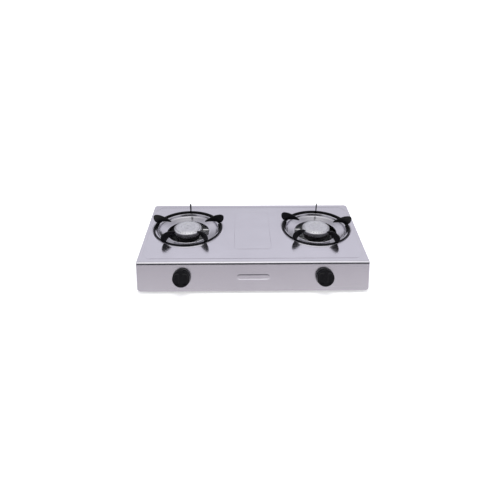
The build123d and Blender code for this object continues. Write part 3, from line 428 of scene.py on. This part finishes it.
def add_rear(sheet):
    """The rear rim, and the rear wall round the opening for the back panel."""
    rear = []
    for reach, drop in rim_columns():
        y, z = BACK_Y - RIM_R + reach, TOP_Z - drop
        rear.append([(-CORNER_X, y, z), (CORNER_X, y, z)])
    sheet.rows(rear)
    window_x, wall_top = HALF - WINDOW_MARGIN, TOP_Z - RIM_R - GUARD
    wall = [
        (-CORNER_X, wall_top),
        (CORNER_X, wall_top),
        (CORNER_X, BOTTOM_Z),
        (window_x, BOTTOM_Z),
        (window_x, WINDOW_TOP),
        (-window_x, WINDOW_TOP),
        (-window_x, BOTTOM_Z),
        (-CORNER_X, BOTTOM_Z),
    ]
    screws = [circle(x, z, BACK_SCREW_R, steps=12) for x, z in BACK_SCREWS]
    sheet.fill([wall, *screws], lambda x, z: (x, BACK_Y, z))


def make_casing():
    """The pressed casing: one outer surface, thickened inward to the sheet."""
    sheet = Surface()
    add_worktop(sheet)
    add_front_bend(sheet)
    add_fascia(sheet)
    for sign in SIDES.values():
        add_side(sheet, sign)
    add_rear(sheet)
    return sheet.piece("casing_sheet", thickness=SHEET, angle=40)


# ---------------------------------------------------------------- burners

BOWL_LINE = [
    (112.0, 0.6),
    (107.0, 0.6),
    (102.2, 0.6),
    (101.2, 0.4),
    (100.5, 0.0),
    (99.8, -1.2),
    (98.6, -3.9),
    (97.5, -6.5),
    (96.1, -7.5),
    (94.6, -7.1),
    (93.0, -7.8),
    (88.0, -9.1),
    (82.0, -10.6),
    (77.0, -11.9),
    (73.0, -12.8),
    (71.2, -12.8),
    (70.1, -12.3),
]
BOWL_SHEET = 0.6
RING_R, RING_WIRE_R, RING_Z = 110.3, 3.0, 3.8
REAR_FINGER = 90
FINGER_ANGLES = (18, REAR_FINGER, 162, 234, 306)
SUPPORT_TURN = {"left": 0, "right": -8}
FINGER_THICKNESS, FINGER_EDGE_R = 3.6, 0.8
FINGER_TOP = [(59.0, 17.6), (66.0, 22.4), (76.0, 27.2), (87.0, 31.2), (98.0, 34.0)]
FINGER_NOSE = [(111.0, 34.0), (119.6, 31.6), (124.4, 25.6), (124.4, 16.0)]
FINGER_HEEL = [(124.4, 16.0), (122.0, 9.9), (117.5, 4.6)]
FINGER_FOOT = (105.0, 3.4)
FINGER_UNDER = [FINGER_FOOT, (100.5, 7.6), (95.0, 10.2), (86.0, 12.9), (76.0, 14.6), (60.0, 15.4)]
POST_CORNER = [(104.6, 31.0), (105.48, 33.12), (107.6, 34.0)]
# Weld beads round the ring, on both faces of a finger
WELD_REACH, WELD_HEIGHT, WELD_BULGE = 3.7, 3.5, 1.7
WELD_LIFT, WELD_SINK = 0.2, 0.4


def make_bowl(side):
    """The drip bowl: one line for its upper face, and the same line a sheet lower."""
    upper = smooth_line(BOWL_LINE, 4)
    lower = [(r, z - BOWL_SHEET) for r, z in reversed(upper)]
    bowl = revolved(upper + lower, steps=180)
    return bowl.piece(f"{side}_bowl_pressing", matrix=burner_matrix(side))


def make_ring(side):
    """The support's round wire."""
    wire = [(RING_R + x, RING_Z + z) for x, z in circle(0, 0, RING_WIRE_R, 20)]
    return revolved(wire, steps=180).piece(f"{side}_ring_wire", matrix=burner_matrix(side))


def finger_outline(short):
    """(distance from the axis, height) round one finger, as in the CAD. The rear finger
    is a short post that ends at the ring."""
    nose = smooth_line(FINGER_NOSE, 6)
    heel = smooth_line(FINGER_HEEL, 6)[1:]
    if short:
        return smooth_line(POST_CORNER, 4) + nose + heel + [FINGER_FOOT]
    return smooth_line(FINGER_TOP, 6) + nose + heel + smooth_line(FINGER_UNDER, 5)


def inset_outline(outline, inset):
    """The outline moved inward by the inset, point by point."""
    moved = []
    count = len(outline)
    for i, point in enumerate(outline):
        here = Vector(point)
        before, after = Vector(outline[i - 1]), Vector(outline[(i + 1) % count])
        along = (after - here).normalized() + (here - before).normalized()
        along.normalize()
        moved.append(tuple(here + Vector((along.y, -along.x)) * inset))
    return moved


def finger_place(angle):
    """A function that puts (distance from the axis, height, offset) into one finger."""
    turn = radians(angle)
    along, across = Vector((cos(turn), sin(turn), 0)), Vector((sin(turn), -cos(turn), 0))
    return lambda r, z, offset: tuple(along * r + across * offset + Vector((0, 0, z)))


def add_finger(surface, outline, place, steps=4):
    """A flat finger with rounded edges."""
    half, edge = FINGER_THICKNESS / 2, FINGER_EDGE_R
    turns = [pi / 2 * i / steps for i in range(steps + 1)]
    sections = [(edge * (1 - sin(turn)), half - edge + edge * cos(turn)) for turn in turns]
    sections += [(inset, -offset) for inset, offset in reversed(sections)]
    rows = []
    for inset, offset in sections:
        rows.append([place(r, z, offset) for r, z in inset_outline(outline, inset)])
    surface.rows(rows, closed=True)
    inner = inset_outline(outline, sections[0][0])
    surface.fill([inner], lambda r, z: place(r, z, half))
    surface.fill([inner], lambda r, z: place(r, z, -half))


def add_weld(surface, place, face, rings=8, steps=20):
    """A flattened bead on one face of a finger, where the ring passes through it."""
    rows = []
    for i in range(rings + 1):
        tilt = pi * i / rings
        offset = face * (FINGER_THICKNESS / 2 - WELD_SINK) + WELD_BULGE * cos(tilt)
        row = []
        for k in range(steps):
            turn = 2 * pi * k / steps
            r = RING_R + sin(tilt) * WELD_REACH * cos(turn)
            z = RING_Z + WELD_LIFT + sin(tilt) * WELD_HEIGHT * sin(turn)
            row.append(place(r, z, offset))
        rows.append(row)
    surface.rows(rows, closed=True)


def make_fingers(side):
    """Five fingers, and the welds that hold them on the ring."""
    fingers = Surface()
    for angle in FINGER_ANGLES:
        place = finger_place(angle + SUPPORT_TURN[side])
        add_finger(fingers, finger_outline(angle == REAR_FINGER), place)
        for face in (-1, 1):
            add_weld(fingers, place, face)
    return fingers.piece(f"{side}_support_arms", matrix=burner_matrix(side), angle=50)


# ---------------------------------------------------------------- knobs

KNOB_R, KNOB_TOP, KNOB_BASE, KNOB_EDGE_R = 25.8, 23.0, 7.6, 1.8
KNOB_INSIDE = [(0.02, 19.0), (4.02, 19.0), (4.02, 5.1), (7.4, 5.1), (7.5, 5.3), (7.5, 17.6)]
KNOB_INSIDE += [(23.2, 17.6), (23.4, 17.4), (23.4, 7.7), (23.6, KNOB_BASE)]
# Two scoops in the face: the middle, half width and depth, then the distances at which
# they end along the grip and at the rim, each with the width that it fades over
SCOOP_X, SCOOP_HALF, SCOOP_DEPTH = 13.4, 8.4, 1.4
SCOOP_END, SCOOP_END_FADE = 17.5, 4.0
SCOOP_RIM, SCOOP_RIM_FADE = 24.0, 2.5
BEZEL_R, BEZEL_HOLE_R, BEZEL_EDGE_R = 27.5, 9.5, 1.6


def eased(share):
    """A smooth step from 0 to 1."""
    share = min(max(share, 0.0), 1.0)
    return share * share * (3 - 2 * share)


def knob_face(x, y):
    """Depth of the two scoops that leave a grip ridge across the knob's face."""
    across = max(0.0, 1 - ((abs(x) - SCOOP_X) / SCOOP_HALF) ** 2)
    end = eased((SCOOP_END - abs(y)) / SCOOP_END_FADE)
    rim = eased((SCOOP_RIM - hypot(x, y)) / SCOOP_RIM_FADE)
    return SCOOP_DEPTH * (1 - (1 - across) ** 2) * end * rim


def make_knob(side):
    """The knob, hollow underneath, with a grip across its face."""
    wall, rings = KNOB_R - 0.1, 30
    profile = [*KNOB_INSIDE, (KNOB_R - 0.3, KNOB_BASE), (KNOB_R, KNOB_BASE + 0.3)]
    profile += [(KNOB_R, 12.0), (wall, 17.0)]
    flat_r = wall - KNOB_EDGE_R
    profile += arc(flat_r, KNOB_TOP - KNOB_EDGE_R, KNOB_EDGE_R, 0, 90, steps=8)
    profile += [(flat_r * (1 - i / rings), KNOB_TOP) for i in range(1, rings)]
    profile += [(0.02, KNOB_TOP)]
    knob = revolved(profile, steps=120, closed=False)
    on_face = KNOB_TOP - 0.05
    knob.points = [
        (x, y, z - knob_face(x, y) if z > on_face else z) for x, y, z in knob.points
    ]
    return knob.piece(f"{side}_knob_grip", matrix=knob_matrix(side), weld=0.06)


def make_bezel(side):
    """The flat ring under the knob, with a raised round edge."""
    profile = [(BEZEL_HOLE_R, 0.0), (BEZEL_R, 0.0)]
    profile += arc(BEZEL_R - BEZEL_EDGE_R, 1.8, BEZEL_EDGE_R, 0, 90, steps=8)
    profile += [(23.9, 3.4), (23.5, 3.25), (23.3, 2.9), (23.2, 2.2), (22.8, 1.85), (22.2, 1.8)]
    profile += [(10.2, 1.8), (9.7, 1.6), (BEZEL_HOLE_R, 1.2)]
    bezel = revolved(profile, steps=120)
    return bezel.piece(f"{side}_bezel_ring", matrix=knob_matrix(side))


# ---------------------------------------------------------------- return springs

# The coil at rest, in the knob's frame
COIL_R, COIL_WIRE_R, COIL_TURNS = 6.0, 0.5, 4.5
COIL_BASE, COIL_HEIGHT = -15.4, 9.6


def make_coil(side, sections=180):
    """The return spring behind the fascia, as one round wire."""
    coil = Surface()
    climb = COIL_HEIGHT / (2 * pi * COIL_TURNS)
    rows = []
    for i in range(sections + 1):
        turn = 2 * pi * COIL_TURNS * i / sections
        outward = Vector((cos(turn), sin(turn), 0))
        tangent = Vector((-sin(turn) * COIL_R, cos(turn) * COIL_R, climb)).normalized()
        sideways = tangent.cross(outward)
        centre = outward * COIL_R + Vector((0, 0, COIL_BASE + COIL_HEIGHT * i / sections))
        ring = circle(0, 0, COIL_WIRE_R, steps=10)
        rows.append([tuple(centre + outward * x + sideways * y) for x, y in ring])
    indices = coil.rows(rows, closed=True)
    coil.faces += [tuple(indices[0]), tuple(indices[-1])]
    return coil.piece(f"{side}_spring_coil", matrix=knob_matrix(side))


# ---------------------------------------------------------------- materials


def add_node(tree, kind, inputs=None, **settings):
    """A shader node. Its inputs are plain values or sockets of other nodes."""
    made = tree.nodes.new("ShaderNode" + kind)
    for name, value in settings.items():
        setattr(made, name, value)
    for name, value in (inputs or {}).items():
        if isinstance(value, bpy.types.NodeSocket):
            tree.links.new(value, made.inputs[name])
        else:
            made.inputs[name].default_value = value
    return made


class Finish:
    """A node material: uniform values sit on the shader, the rest comes from textures."""

    def __init__(self, name, colour, **sockets):
        self.material = bpy.data.materials.new(name)
        self.material.use_nodes = True
        self.tree = self.material.node_tree
        self.node = partial(add_node, self.tree)
        self.shader = self.tree.nodes["Principled BSDF"]
        self.colour = colour
        self.normal = None
        self.coordinates = self.node("TexCoord").outputs["Object"]
        for socket, value in sockets.items():
            self.shader.inputs[socket.replace("_", " ")].default_value = value

    def noise(self, scale, detail=3.0, stretch=(1, 1, 1), distortion=0.0):
        place = self.node("Mapping", {"Vector": self.coordinates, "Scale": stretch})
        inputs = {"Vector": place.outputs[0], "Scale": scale, "Detail": detail}
        inputs["Distortion"] = distortion
        return self.node("TexNoise", inputs).outputs["Fac"]

    def spread(self, factor, low, high, start=0.3, end=0.7):
        """A number that runs from low to high as the factor goes from start to end."""
        inputs = {"Value": factor, "From Min": start, "From Max": end}
        inputs.update({"To Min": low, "To Max": high})
        return self.node("MapRange", inputs).outputs[0]

    def tint(self, factor, low, high, start=0.3, end=0.7):
        """Base colour from low to high multiples of the finish's own colour."""
        ramp = self.node("ValToRGB", {"Fac": factor})
        ramp.color_ramp.elements[0].position = start
        ramp.color_ramp.elements[1].position = end
        for element, scale in zip(ramp.color_ramp.elements, (low, high)):
            element.color = [min(value * scale, 1.0) for value in self.colour] + [1]
        self.tree.links.new(ramp.outputs[0], self.shader.inputs["Base Color"])
        return self

    def rough(self, factor, low, high, start=0.3, end=0.7):
        value = self.spread(factor, low, high, start, end)
        self.tree.links.new(value, self.shader.inputs["Roughness"])
        return self

    def bump(self, factor, distance, strength=1.0):
        inputs = {"Height": factor, "Distance": distance, "Strength": strength}
        if self.normal is not None:
            inputs["Normal"] = self.normal
        self.normal = self.node("Bump", inputs).outputs[0]
        self.tree.links.new(self.normal, self.shader.inputs["Normal"])
        return self


def sheet_steel(name, colour, low, high, ripple):
    """Rolled stainless sheet with a fine grain along X."""
    steel = Finish(name, colour, Metallic=1.0)
    grain = steel.noise(420, 4, (0.05, 1, 1))
    cloud = steel.noise(7, 4)
    steel.tint(cloud, 0.97, 1.03)
    steel.rough(grain, low, high)
    steel.bump(steel.noise(3.2, 2), ripple)
    steel.bump(grain, 0.00004, 0.25)
    return steel


def spun_steel(name, colour):
    """Polished sheet with faint turning marks about each burner's axis."""
    steel = Finish(name, colour, Metallic=1.0)
    split = steel.node("SeparateXYZ", {"Vector": steel.coordinates})
    across = steel.node("Math", {0: split.outputs[0]}, operation="ABSOLUTE").outputs[0]
    x = steel.node("Math", {0: across, 1: BURNER_X * MM}, operation="SUBTRACT").outputs[0]
    y = steel.node("Math", {0: split.outputs[1], 1: BURNER_Y * MM}, operation="SUBTRACT").outputs[0]
    flat = steel.node("CombineXYZ", {"X": x, "Y": y}).outputs[0]
    radius = steel.node("VectorMath", {0: flat}, operation="LENGTH").outputs["Value"]
    lines = steel.node(
        "TexNoise",
        {"W": radius, "Scale": 900.0, "Detail": 2.0},
        noise_dimensions="1D",
    ).outputs["Fac"]
    steel.tint(steel.noise(40, 3), 0.95, 1.02)
    steel.rough(lines, 0.12, 0.2)
    steel.bump(lines, 0.00003, 0.3)
    steel.bump(steel.noise(12, 1), 0.0003, 0.3)
    return steel


def stainless():
    """The casing's sheet."""
    return sheet_steel("stainless_sheet", (0.70, 0.685, 0.735), 0.15, 0.23, 0.0006)


def stainless_dull():
    """The duller sheet of the back."""
    return sheet_steel("stainless_back", (0.52, 0.51, 0.53), 0.3, 0.42, 0.0006)


def polished_stainless():
    """The drip bowls' sheet."""
    return spun_steel("stainless_bowl", (0.60, 0.59, 0.63))


def galvanised():
    """Galvanised sheet with its spangle."""
    finish = Finish("galvanised_sheet", (0.68, 0.69, 0.70), Metallic=1.0)
    cells = finish.node("TexVoronoi", {"Vector": finish.coordinates, "Scale": 120.0})
    spangle = cells.outputs["Color"]
    finish.tint(spangle, 0.8, 1.1, 0.1, 0.9).rough(spangle, 0.32, 0.52, 0.0, 1.0)
    finish.bump(finish.noise(300, 3), 0.00005, 0.4)
    return finish


def plated_screw():
    """Zinc-plated screws."""
    finish = Finish("zinc_screw", (0.66, 0.66, 0.64), Metallic=1.0)
    finish.tint(finish.noise(600, 3), 0.85, 1.08).rough(finish.noise(900, 2), 0.22, 0.38)
    return finish


def rubber():
    """Matt black rubber."""
    finish = Finish("black_rubber", (0.022, 0.022, 0.023), Roughness=0.8)
    finish.tint(finish.noise(250, 4), 0.7, 1.5).rough(finish.noise(120, 4), 0.62, 0.85)
    finish.bump(finish.noise(1400, 4), 0.00012, 0.5)
    return finish


def aluminium_rail():
    """Drawn aluminium, with its grain along X."""
    finish = Finish("drawn_aluminium", (0.72, 0.73, 0.75), Metallic=1.0)
    drawn = finish.noise(700, 3, (0.04, 1, 1))
    finish.tint(finish.noise(60, 3), 0.88, 1.05).rough(drawn, 0.25, 0.42).bump(drawn, 0.00005, 0.4)
    return finish


def brass():
    """Turned brass."""
    finish = Finish("turned_brass", (0.70, 0.50, 0.22), Metallic=1.0)
    finish.tint(finish.noise(90, 5), 0.75, 1.08).rough(finish.noise(220, 4), 0.2, 0.4)
    finish.bump(finish.noise(1600, 3), 0.00003, 0.4)
    return finish


def black_enamel():
    """Thin black enamel on the supports."""
    finish = Finish("black_enamel", (0.004, 0.004, 0.0055), Coat_Weight=0.06, Coat_Roughness=0.2)
    finish.shader.inputs["Specular IOR Level"].default_value = 0.12
    finish.tint(finish.noise(70, 4), 0.7, 1.6).rough(finish.noise(160, 4), 0.30, 0.46)
    finish.bump(finish.noise(520, 3), 0.00018, 0.35)
    return finish


def cast_aluminium():
    """Sand-cast aluminium."""
    finish = Finish("cast_aluminium", (0.78, 0.78, 0.81), Metallic=1.0)
    grit = finish.noise(1100, 5)
    finish.tint(finish.noise(120, 4), 0.86, 1.04).rough(grit, 0.3, 0.46)
    finish.bump(grit, 0.00016, 0.5).bump(finish.noise(260, 3), 0.0002, 0.3)
    return finish


def cast_iron():
    """Bare cast iron."""
    finish = Finish("cast_iron", (0.05, 0.049, 0.052), Metallic=0.6)
    sand = finish.noise(900, 5)
    finish.tint(finish.noise(90, 4), 0.7, 1.7).rough(sand, 0.5, 0.72).bump(sand, 0.0003, 0.6)
    return finish


def ceramic():
    """Glazed white ceramic."""
    finish = Finish("white_ceramic", (0.90, 0.90, 0.90), Coat_Weight=0.3, Coat_Roughness=0.15)
    finish.tint(finish.noise(180, 4), 0.9, 1.04).rough(finish.noise(300, 3), 0.22, 0.34)
    finish.bump(finish.noise(1500, 2), 0.00003, 0.3)
    return finish


def electrode_steel():
    """Heat-stained wire."""
    finish = Finish("electrode_wire", (0.55, 0.53, 0.50), Metallic=1.0)
    finish.tint(finish.noise(300, 4), 0.6, 1.1).rough(finish.noise(500, 3), 0.28, 0.5)
    return finish


def igniter_plastic():
    """The dark moulding of the igniters."""
    finish = Finish("igniter_moulding", (0.05, 0.05, 0.055), Roughness=0.45)
    finish.tint(finish.noise(200, 3), 0.85, 1.2).rough(finish.noise(900, 3), 0.4, 0.55)
    finish.bump(finish.noise(1800, 3), 0.00006, 0.4)
    return finish


def lead_rubber():
    """Red silicone lead."""
    finish = Finish("silicone_lead", (0.42, 0.05, 0.035), Roughness=0.5)
    finish.tint(finish.noise(90, 3), 0.85, 1.15).rough(finish.noise(400, 3), 0.42, 0.6)
    return finish


def spring_steel():
    """Drawn spring wire."""
    finish = Finish("spring_wire", (0.45, 0.45, 0.46), Metallic=1.0)
    finish.tint(finish.noise(500, 3), 0.8, 1.1).rough(finish.noise(700, 3), 0.25, 0.4)
    return finish


def knob_plastic():
    """The satin black moulding of the knobs."""
    finish = Finish("knob_moulding", (0.004, 0.004, 0.0055), Coat_Weight=0.06, Coat_Roughness=0.2)
    finish.shader.inputs["Specular IOR Level"].default_value = 0.14
    finish.tint(finish.noise(60, 3), 0.85, 1.25).rough(finish.noise(140, 4), 0.24, 0.36)
    finish.bump(finish.noise(1700, 3), 0.00004, 0.3)
    return finish


def bezel_plastic():
    """Glossy black moulding."""
    finish = Finish("bezel_moulding", (0.008, 0.008, 0.010), Coat_Weight=1.0, Coat_Roughness=0.1)
    finish.tint(finish.noise(60, 3), 0.85, 1.25).rough(finish.noise(140, 4), 0.14, 0.24)
    finish.bump(finish.noise(1200, 2), 0.00003, 0.3)
    return finish


FINISH_MAKERS = [
    stainless,
    stainless_dull,
    polished_stainless,
    galvanised,
    plated_screw,
    rubber,
    aluminium_rail,
    brass,
    black_enamel,
    cast_aluminium,
    cast_iron,
    ceramic,
    electrode_steel,
    igniter_plastic,
    lead_rubber,
    spring_steel,
    knob_plastic,
    bezel_plastic,
]


def make_finishes():
    """The material of each slot, under the name of the function that makes it."""
    return {maker.__name__: maker().material for maker in FINISH_MAKERS}


# ---------------------------------------------------------------- floor, light, camera

FLOOR_REACH = 30000.0
# The floor glows outside the stove's footprint only, so that the stove's inside stays dark: the
# faint emission inside the footprint is painted shade under the stove.
# The emission sets in between two shares of the footprint's half size, and is faint inside them.
GLOW_START, GLOW_END, PAINTED_SHADE_GLOW = 0.84, 0.97, 0.04
# The dark room lies within these angles of the front, in degrees: it fades in, then is full
ROOM_FADE, ROOM_FULL = 38, 22
STUDIO_STRENGTH = 1.15
# The camera: its place in metres, its angles in radians, its lens in millimetres
CAMERA_PLACE = (-0.03186, -1.25475, 0.84554)
CAMERA_PITCH, CAMERA_YAW, CAMERA_ROLL = 0.58125, 0.01997, 0.00568
LENS, SENSOR_WIDTH = 31.875, 36.0
NEAREST, FURTHEST = 0.01, 200


def floor_glow_and_painted_shade(paper):
    """How bright the floor glows at each place, with painted shade under the stove's footprint."""
    split = paper.node("SeparateXYZ", {"Vector": paper.coordinates})
    shares = []
    for axis, half in ((0, HALF), (1, BACK_Y)):
        distance = paper.node("Math", {0: split.outputs[axis]}, operation="ABSOLUTE").outputs[0]
        share = paper.node("Math", {0: distance, 1: half * MM}, operation="DIVIDE")
        shares.append(share.outputs[0])
    edge = paper.node("Math", {0: shares[0], 1: shares[1]}, operation="MAXIMUM").outputs[0]
    return paper.spread(edge, PAINTED_SHADE_GLOW, 1.0, GLOW_START, GLOW_END)


def make_floor():
    """A pale sheet of paper that reaches past the view."""
    surface = Surface()
    corners = [(-1, -1), (1, -1), (1, 1), (-1, 1)]
    points = [(x * FLOOR_REACH, y * FLOOR_REACH, 0) for x, y in corners]
    surface.faces.append(tuple(surface.add(points)))
    floor = surface.piece("floor_sheet")
    paper = Finish("pale_floor", (0.93, 0.93, 0.935), Roughness=0.9, Emission_Strength=0.5)
    # Faint emission under the stove paints shade there
    paper.tree.links.new(floor_glow_and_painted_shade(paper), paper.shader.inputs["Emission Color"])
    paper.tint(paper.noise(30, 3), 0.995, 1.005)
    floor.data.materials.append(paper.material)


def make_world():
    """A studio seen from the stove: a dark room and a pale wall in front, a pale
    backdrop behind, and a bright ceiling."""
    world = bpy.data.worlds.new("studio")
    bpy.context.scene.world = world
    world.use_nodes = True
    tree = world.node_tree
    node = partial(add_node, tree)

    def ramp(factor, stops):
        """Brightness by elevation: each stop is (degrees, level, tint)."""
        made = node("ValToRGB", {"Fac": factor})
        elements = made.color_ramp.elements
        while len(elements) < len(stops):
            elements.new(0.5)
        for element, (position, level, tint) in zip(elements, stops):
            element.position = position / 90
            element.color = [level * channel for channel in tint] + [1]
        return made.outputs[0]

    # Elevation as a share of a right angle
    split = node("SeparateXYZ", {"Vector": node("TexCoord").outputs["Generated"]})
    height = node("Math", {0: split.outputs[2]}, operation="ARCSINE").outputs[0]
    elevation = node("Math", {0: height, 1: 2 / pi}, operation="MULTIPLY").outputs[0]
    warm, cool, plain = (1.03, 0.98, 1.03), (0.985, 0.975, 1.06), (1, 1, 1)
    front = ramp(
        elevation,
        [
            (0, 0.56, warm),
            (9.6, 0.56, warm),
            (11.4, 0.46, cool),
            (13.6, 0.06, cool),
            (60, 0.06, cool),
            (71, 0.90, plain),
            (90, 1.45, plain),
        ],
    )
    around = ramp(
        elevation,
        [
            (0, 0.55, plain),
            (10, 0.48, cool),
            (16, 0.38, cool),
            (22, 0.46, cool),
            (27.5, 0.66, cool),
            (37, 0.75, cool),
            (51, 0.40, cool),
            (60, 0.72, plain),
            (82, 1.30, plain),
        ],
    )
    # The share of the level direction that points to the front
    facing = node("Math", {0: split.outputs[1], 1: -1}, operation="MULTIPLY").outputs[0]
    level = node("CombineXYZ", {"X": split.outputs[0], "Y": split.outputs[1]}).outputs[0]
    reach = node("VectorMath", {0: level}, operation="LENGTH").outputs["Value"]
    share = node("Math", {0: facing, 1: reach}, operation="DIVIDE").outputs[0]
    weight = node(
        "MapRange",
        {"Value": share, "From Min": cos(radians(ROOM_FADE)), "From Max": cos(radians(ROOM_FULL))},
        interpolation_type="SMOOTHSTEP",
    ).outputs[0]
    blend = node("Mix", {0: weight, 6: around, 7: front}, data_type="RGBA")
    background = tree.nodes["Background"]
    tree.links.new(blend.outputs[2], background.inputs["Color"])
    background.inputs["Strength"].default_value = STUDIO_STRENGTH


def add_softbox(name, location, target, size, energy):
    """A rectangular lamp that lights the stove but isn't mirrored in it."""
    light = bpy.data.lights.new(name, "AREA")
    light.shape = "RECTANGLE"
    light.size, light.size_y = size
    light.energy = energy
    lamp = bpy.data.objects.new(name, light)
    lamp.location = location
    lamp.visible_glossy = False
    lamp.rotation_euler = (Vector(target) - Vector(location)).to_track_quat("-Z", "Y").to_euler()
    bpy.context.scene.collection.objects.link(lamp)


def make_camera():
    """A standing viewer a little left of the middle, looking down at the front."""
    pitch, yaw, roll = CAMERA_PITCH, CAMERA_YAW, CAMERA_ROLL
    turn = Matrix(((cos(yaw), -sin(yaw), 0), (sin(yaw), cos(yaw), 0), (0, 0, 1)))
    look = Matrix(((1, 0, 0), (0, -sin(pitch), -cos(pitch)), (0, cos(pitch), -sin(pitch))))
    tilt = Matrix(((cos(roll), -sin(roll), 0), (sin(roll), cos(roll), 0), (0, 0, 1)))
    right, down, forward = tilt @ look @ turn
    view = Matrix((right, -down, -forward)).transposed().to_4x4()
    data = bpy.data.cameras.new("viewer")
    data.lens, data.sensor_width = LENS, SENSOR_WIDTH
    data.clip_start, data.clip_end = NEAREST, FURTHEST
    camera = bpy.data.objects.new("viewer", data)
    camera.matrix_world = Matrix.Translation(CAMERA_PLACE) @ view
    bpy.context.scene.collection.objects.link(camera)
    bpy.context.scene.camera = camera


# ---------------------------------------------------------------- assembly

make_camera()
finishes = make_finishes()
for node_name, cad_object in frame["nodes"].items():
    for material_slot in cad_object.material_slots:
        material_slot.material = finishes[SLOT_OF[node_name]]
    for face in cad_object.data.polygons:
        face.use_smooth = True
    cad_object.data.set_sharp_from_angle(angle=radians(30))


def place_piece(piece, body, slot, *nodes):
    """Put a made piece on its body, with the finish of the CAD nodes it stands for."""
    piece.data.materials.clear()
    piece.data.materials.append(finishes[slot])
    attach(piece, body)
    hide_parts(*nodes)


place_piece(make_casing(), "root", "stainless", "top_casing")
for side in SIDES:
    place_piece(make_bowl(side), f"{side}_bowl", "polished_stainless", f"{side}_drip_bowl")
    place_piece(make_ring(side), f"{side}_support", "black_enamel", f"{side}_support_ring")
    place_piece(make_fingers(side), f"{side}_support", "black_enamel", f"{side}_support_fingers")
    place_piece(make_knob(side), f"{side}_control", "knob_plastic", f"{side}_knob")
    place_piece(make_bezel(side), "root", "bezel_plastic", f"{side}_knob_bezel")
    coil = make_coil(side)
    place_piece(coil, "root", "spring_steel", f"{side}_return_spring")
    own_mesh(coil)

make_floor()
make_world()
add_softbox("overhead", location=(0, 0.15, 1.7), target=(0, 0, 0), size=(1.6, 1.2), energy=10)
bpy.context.scene.view_settings.view_transform = "Standard"
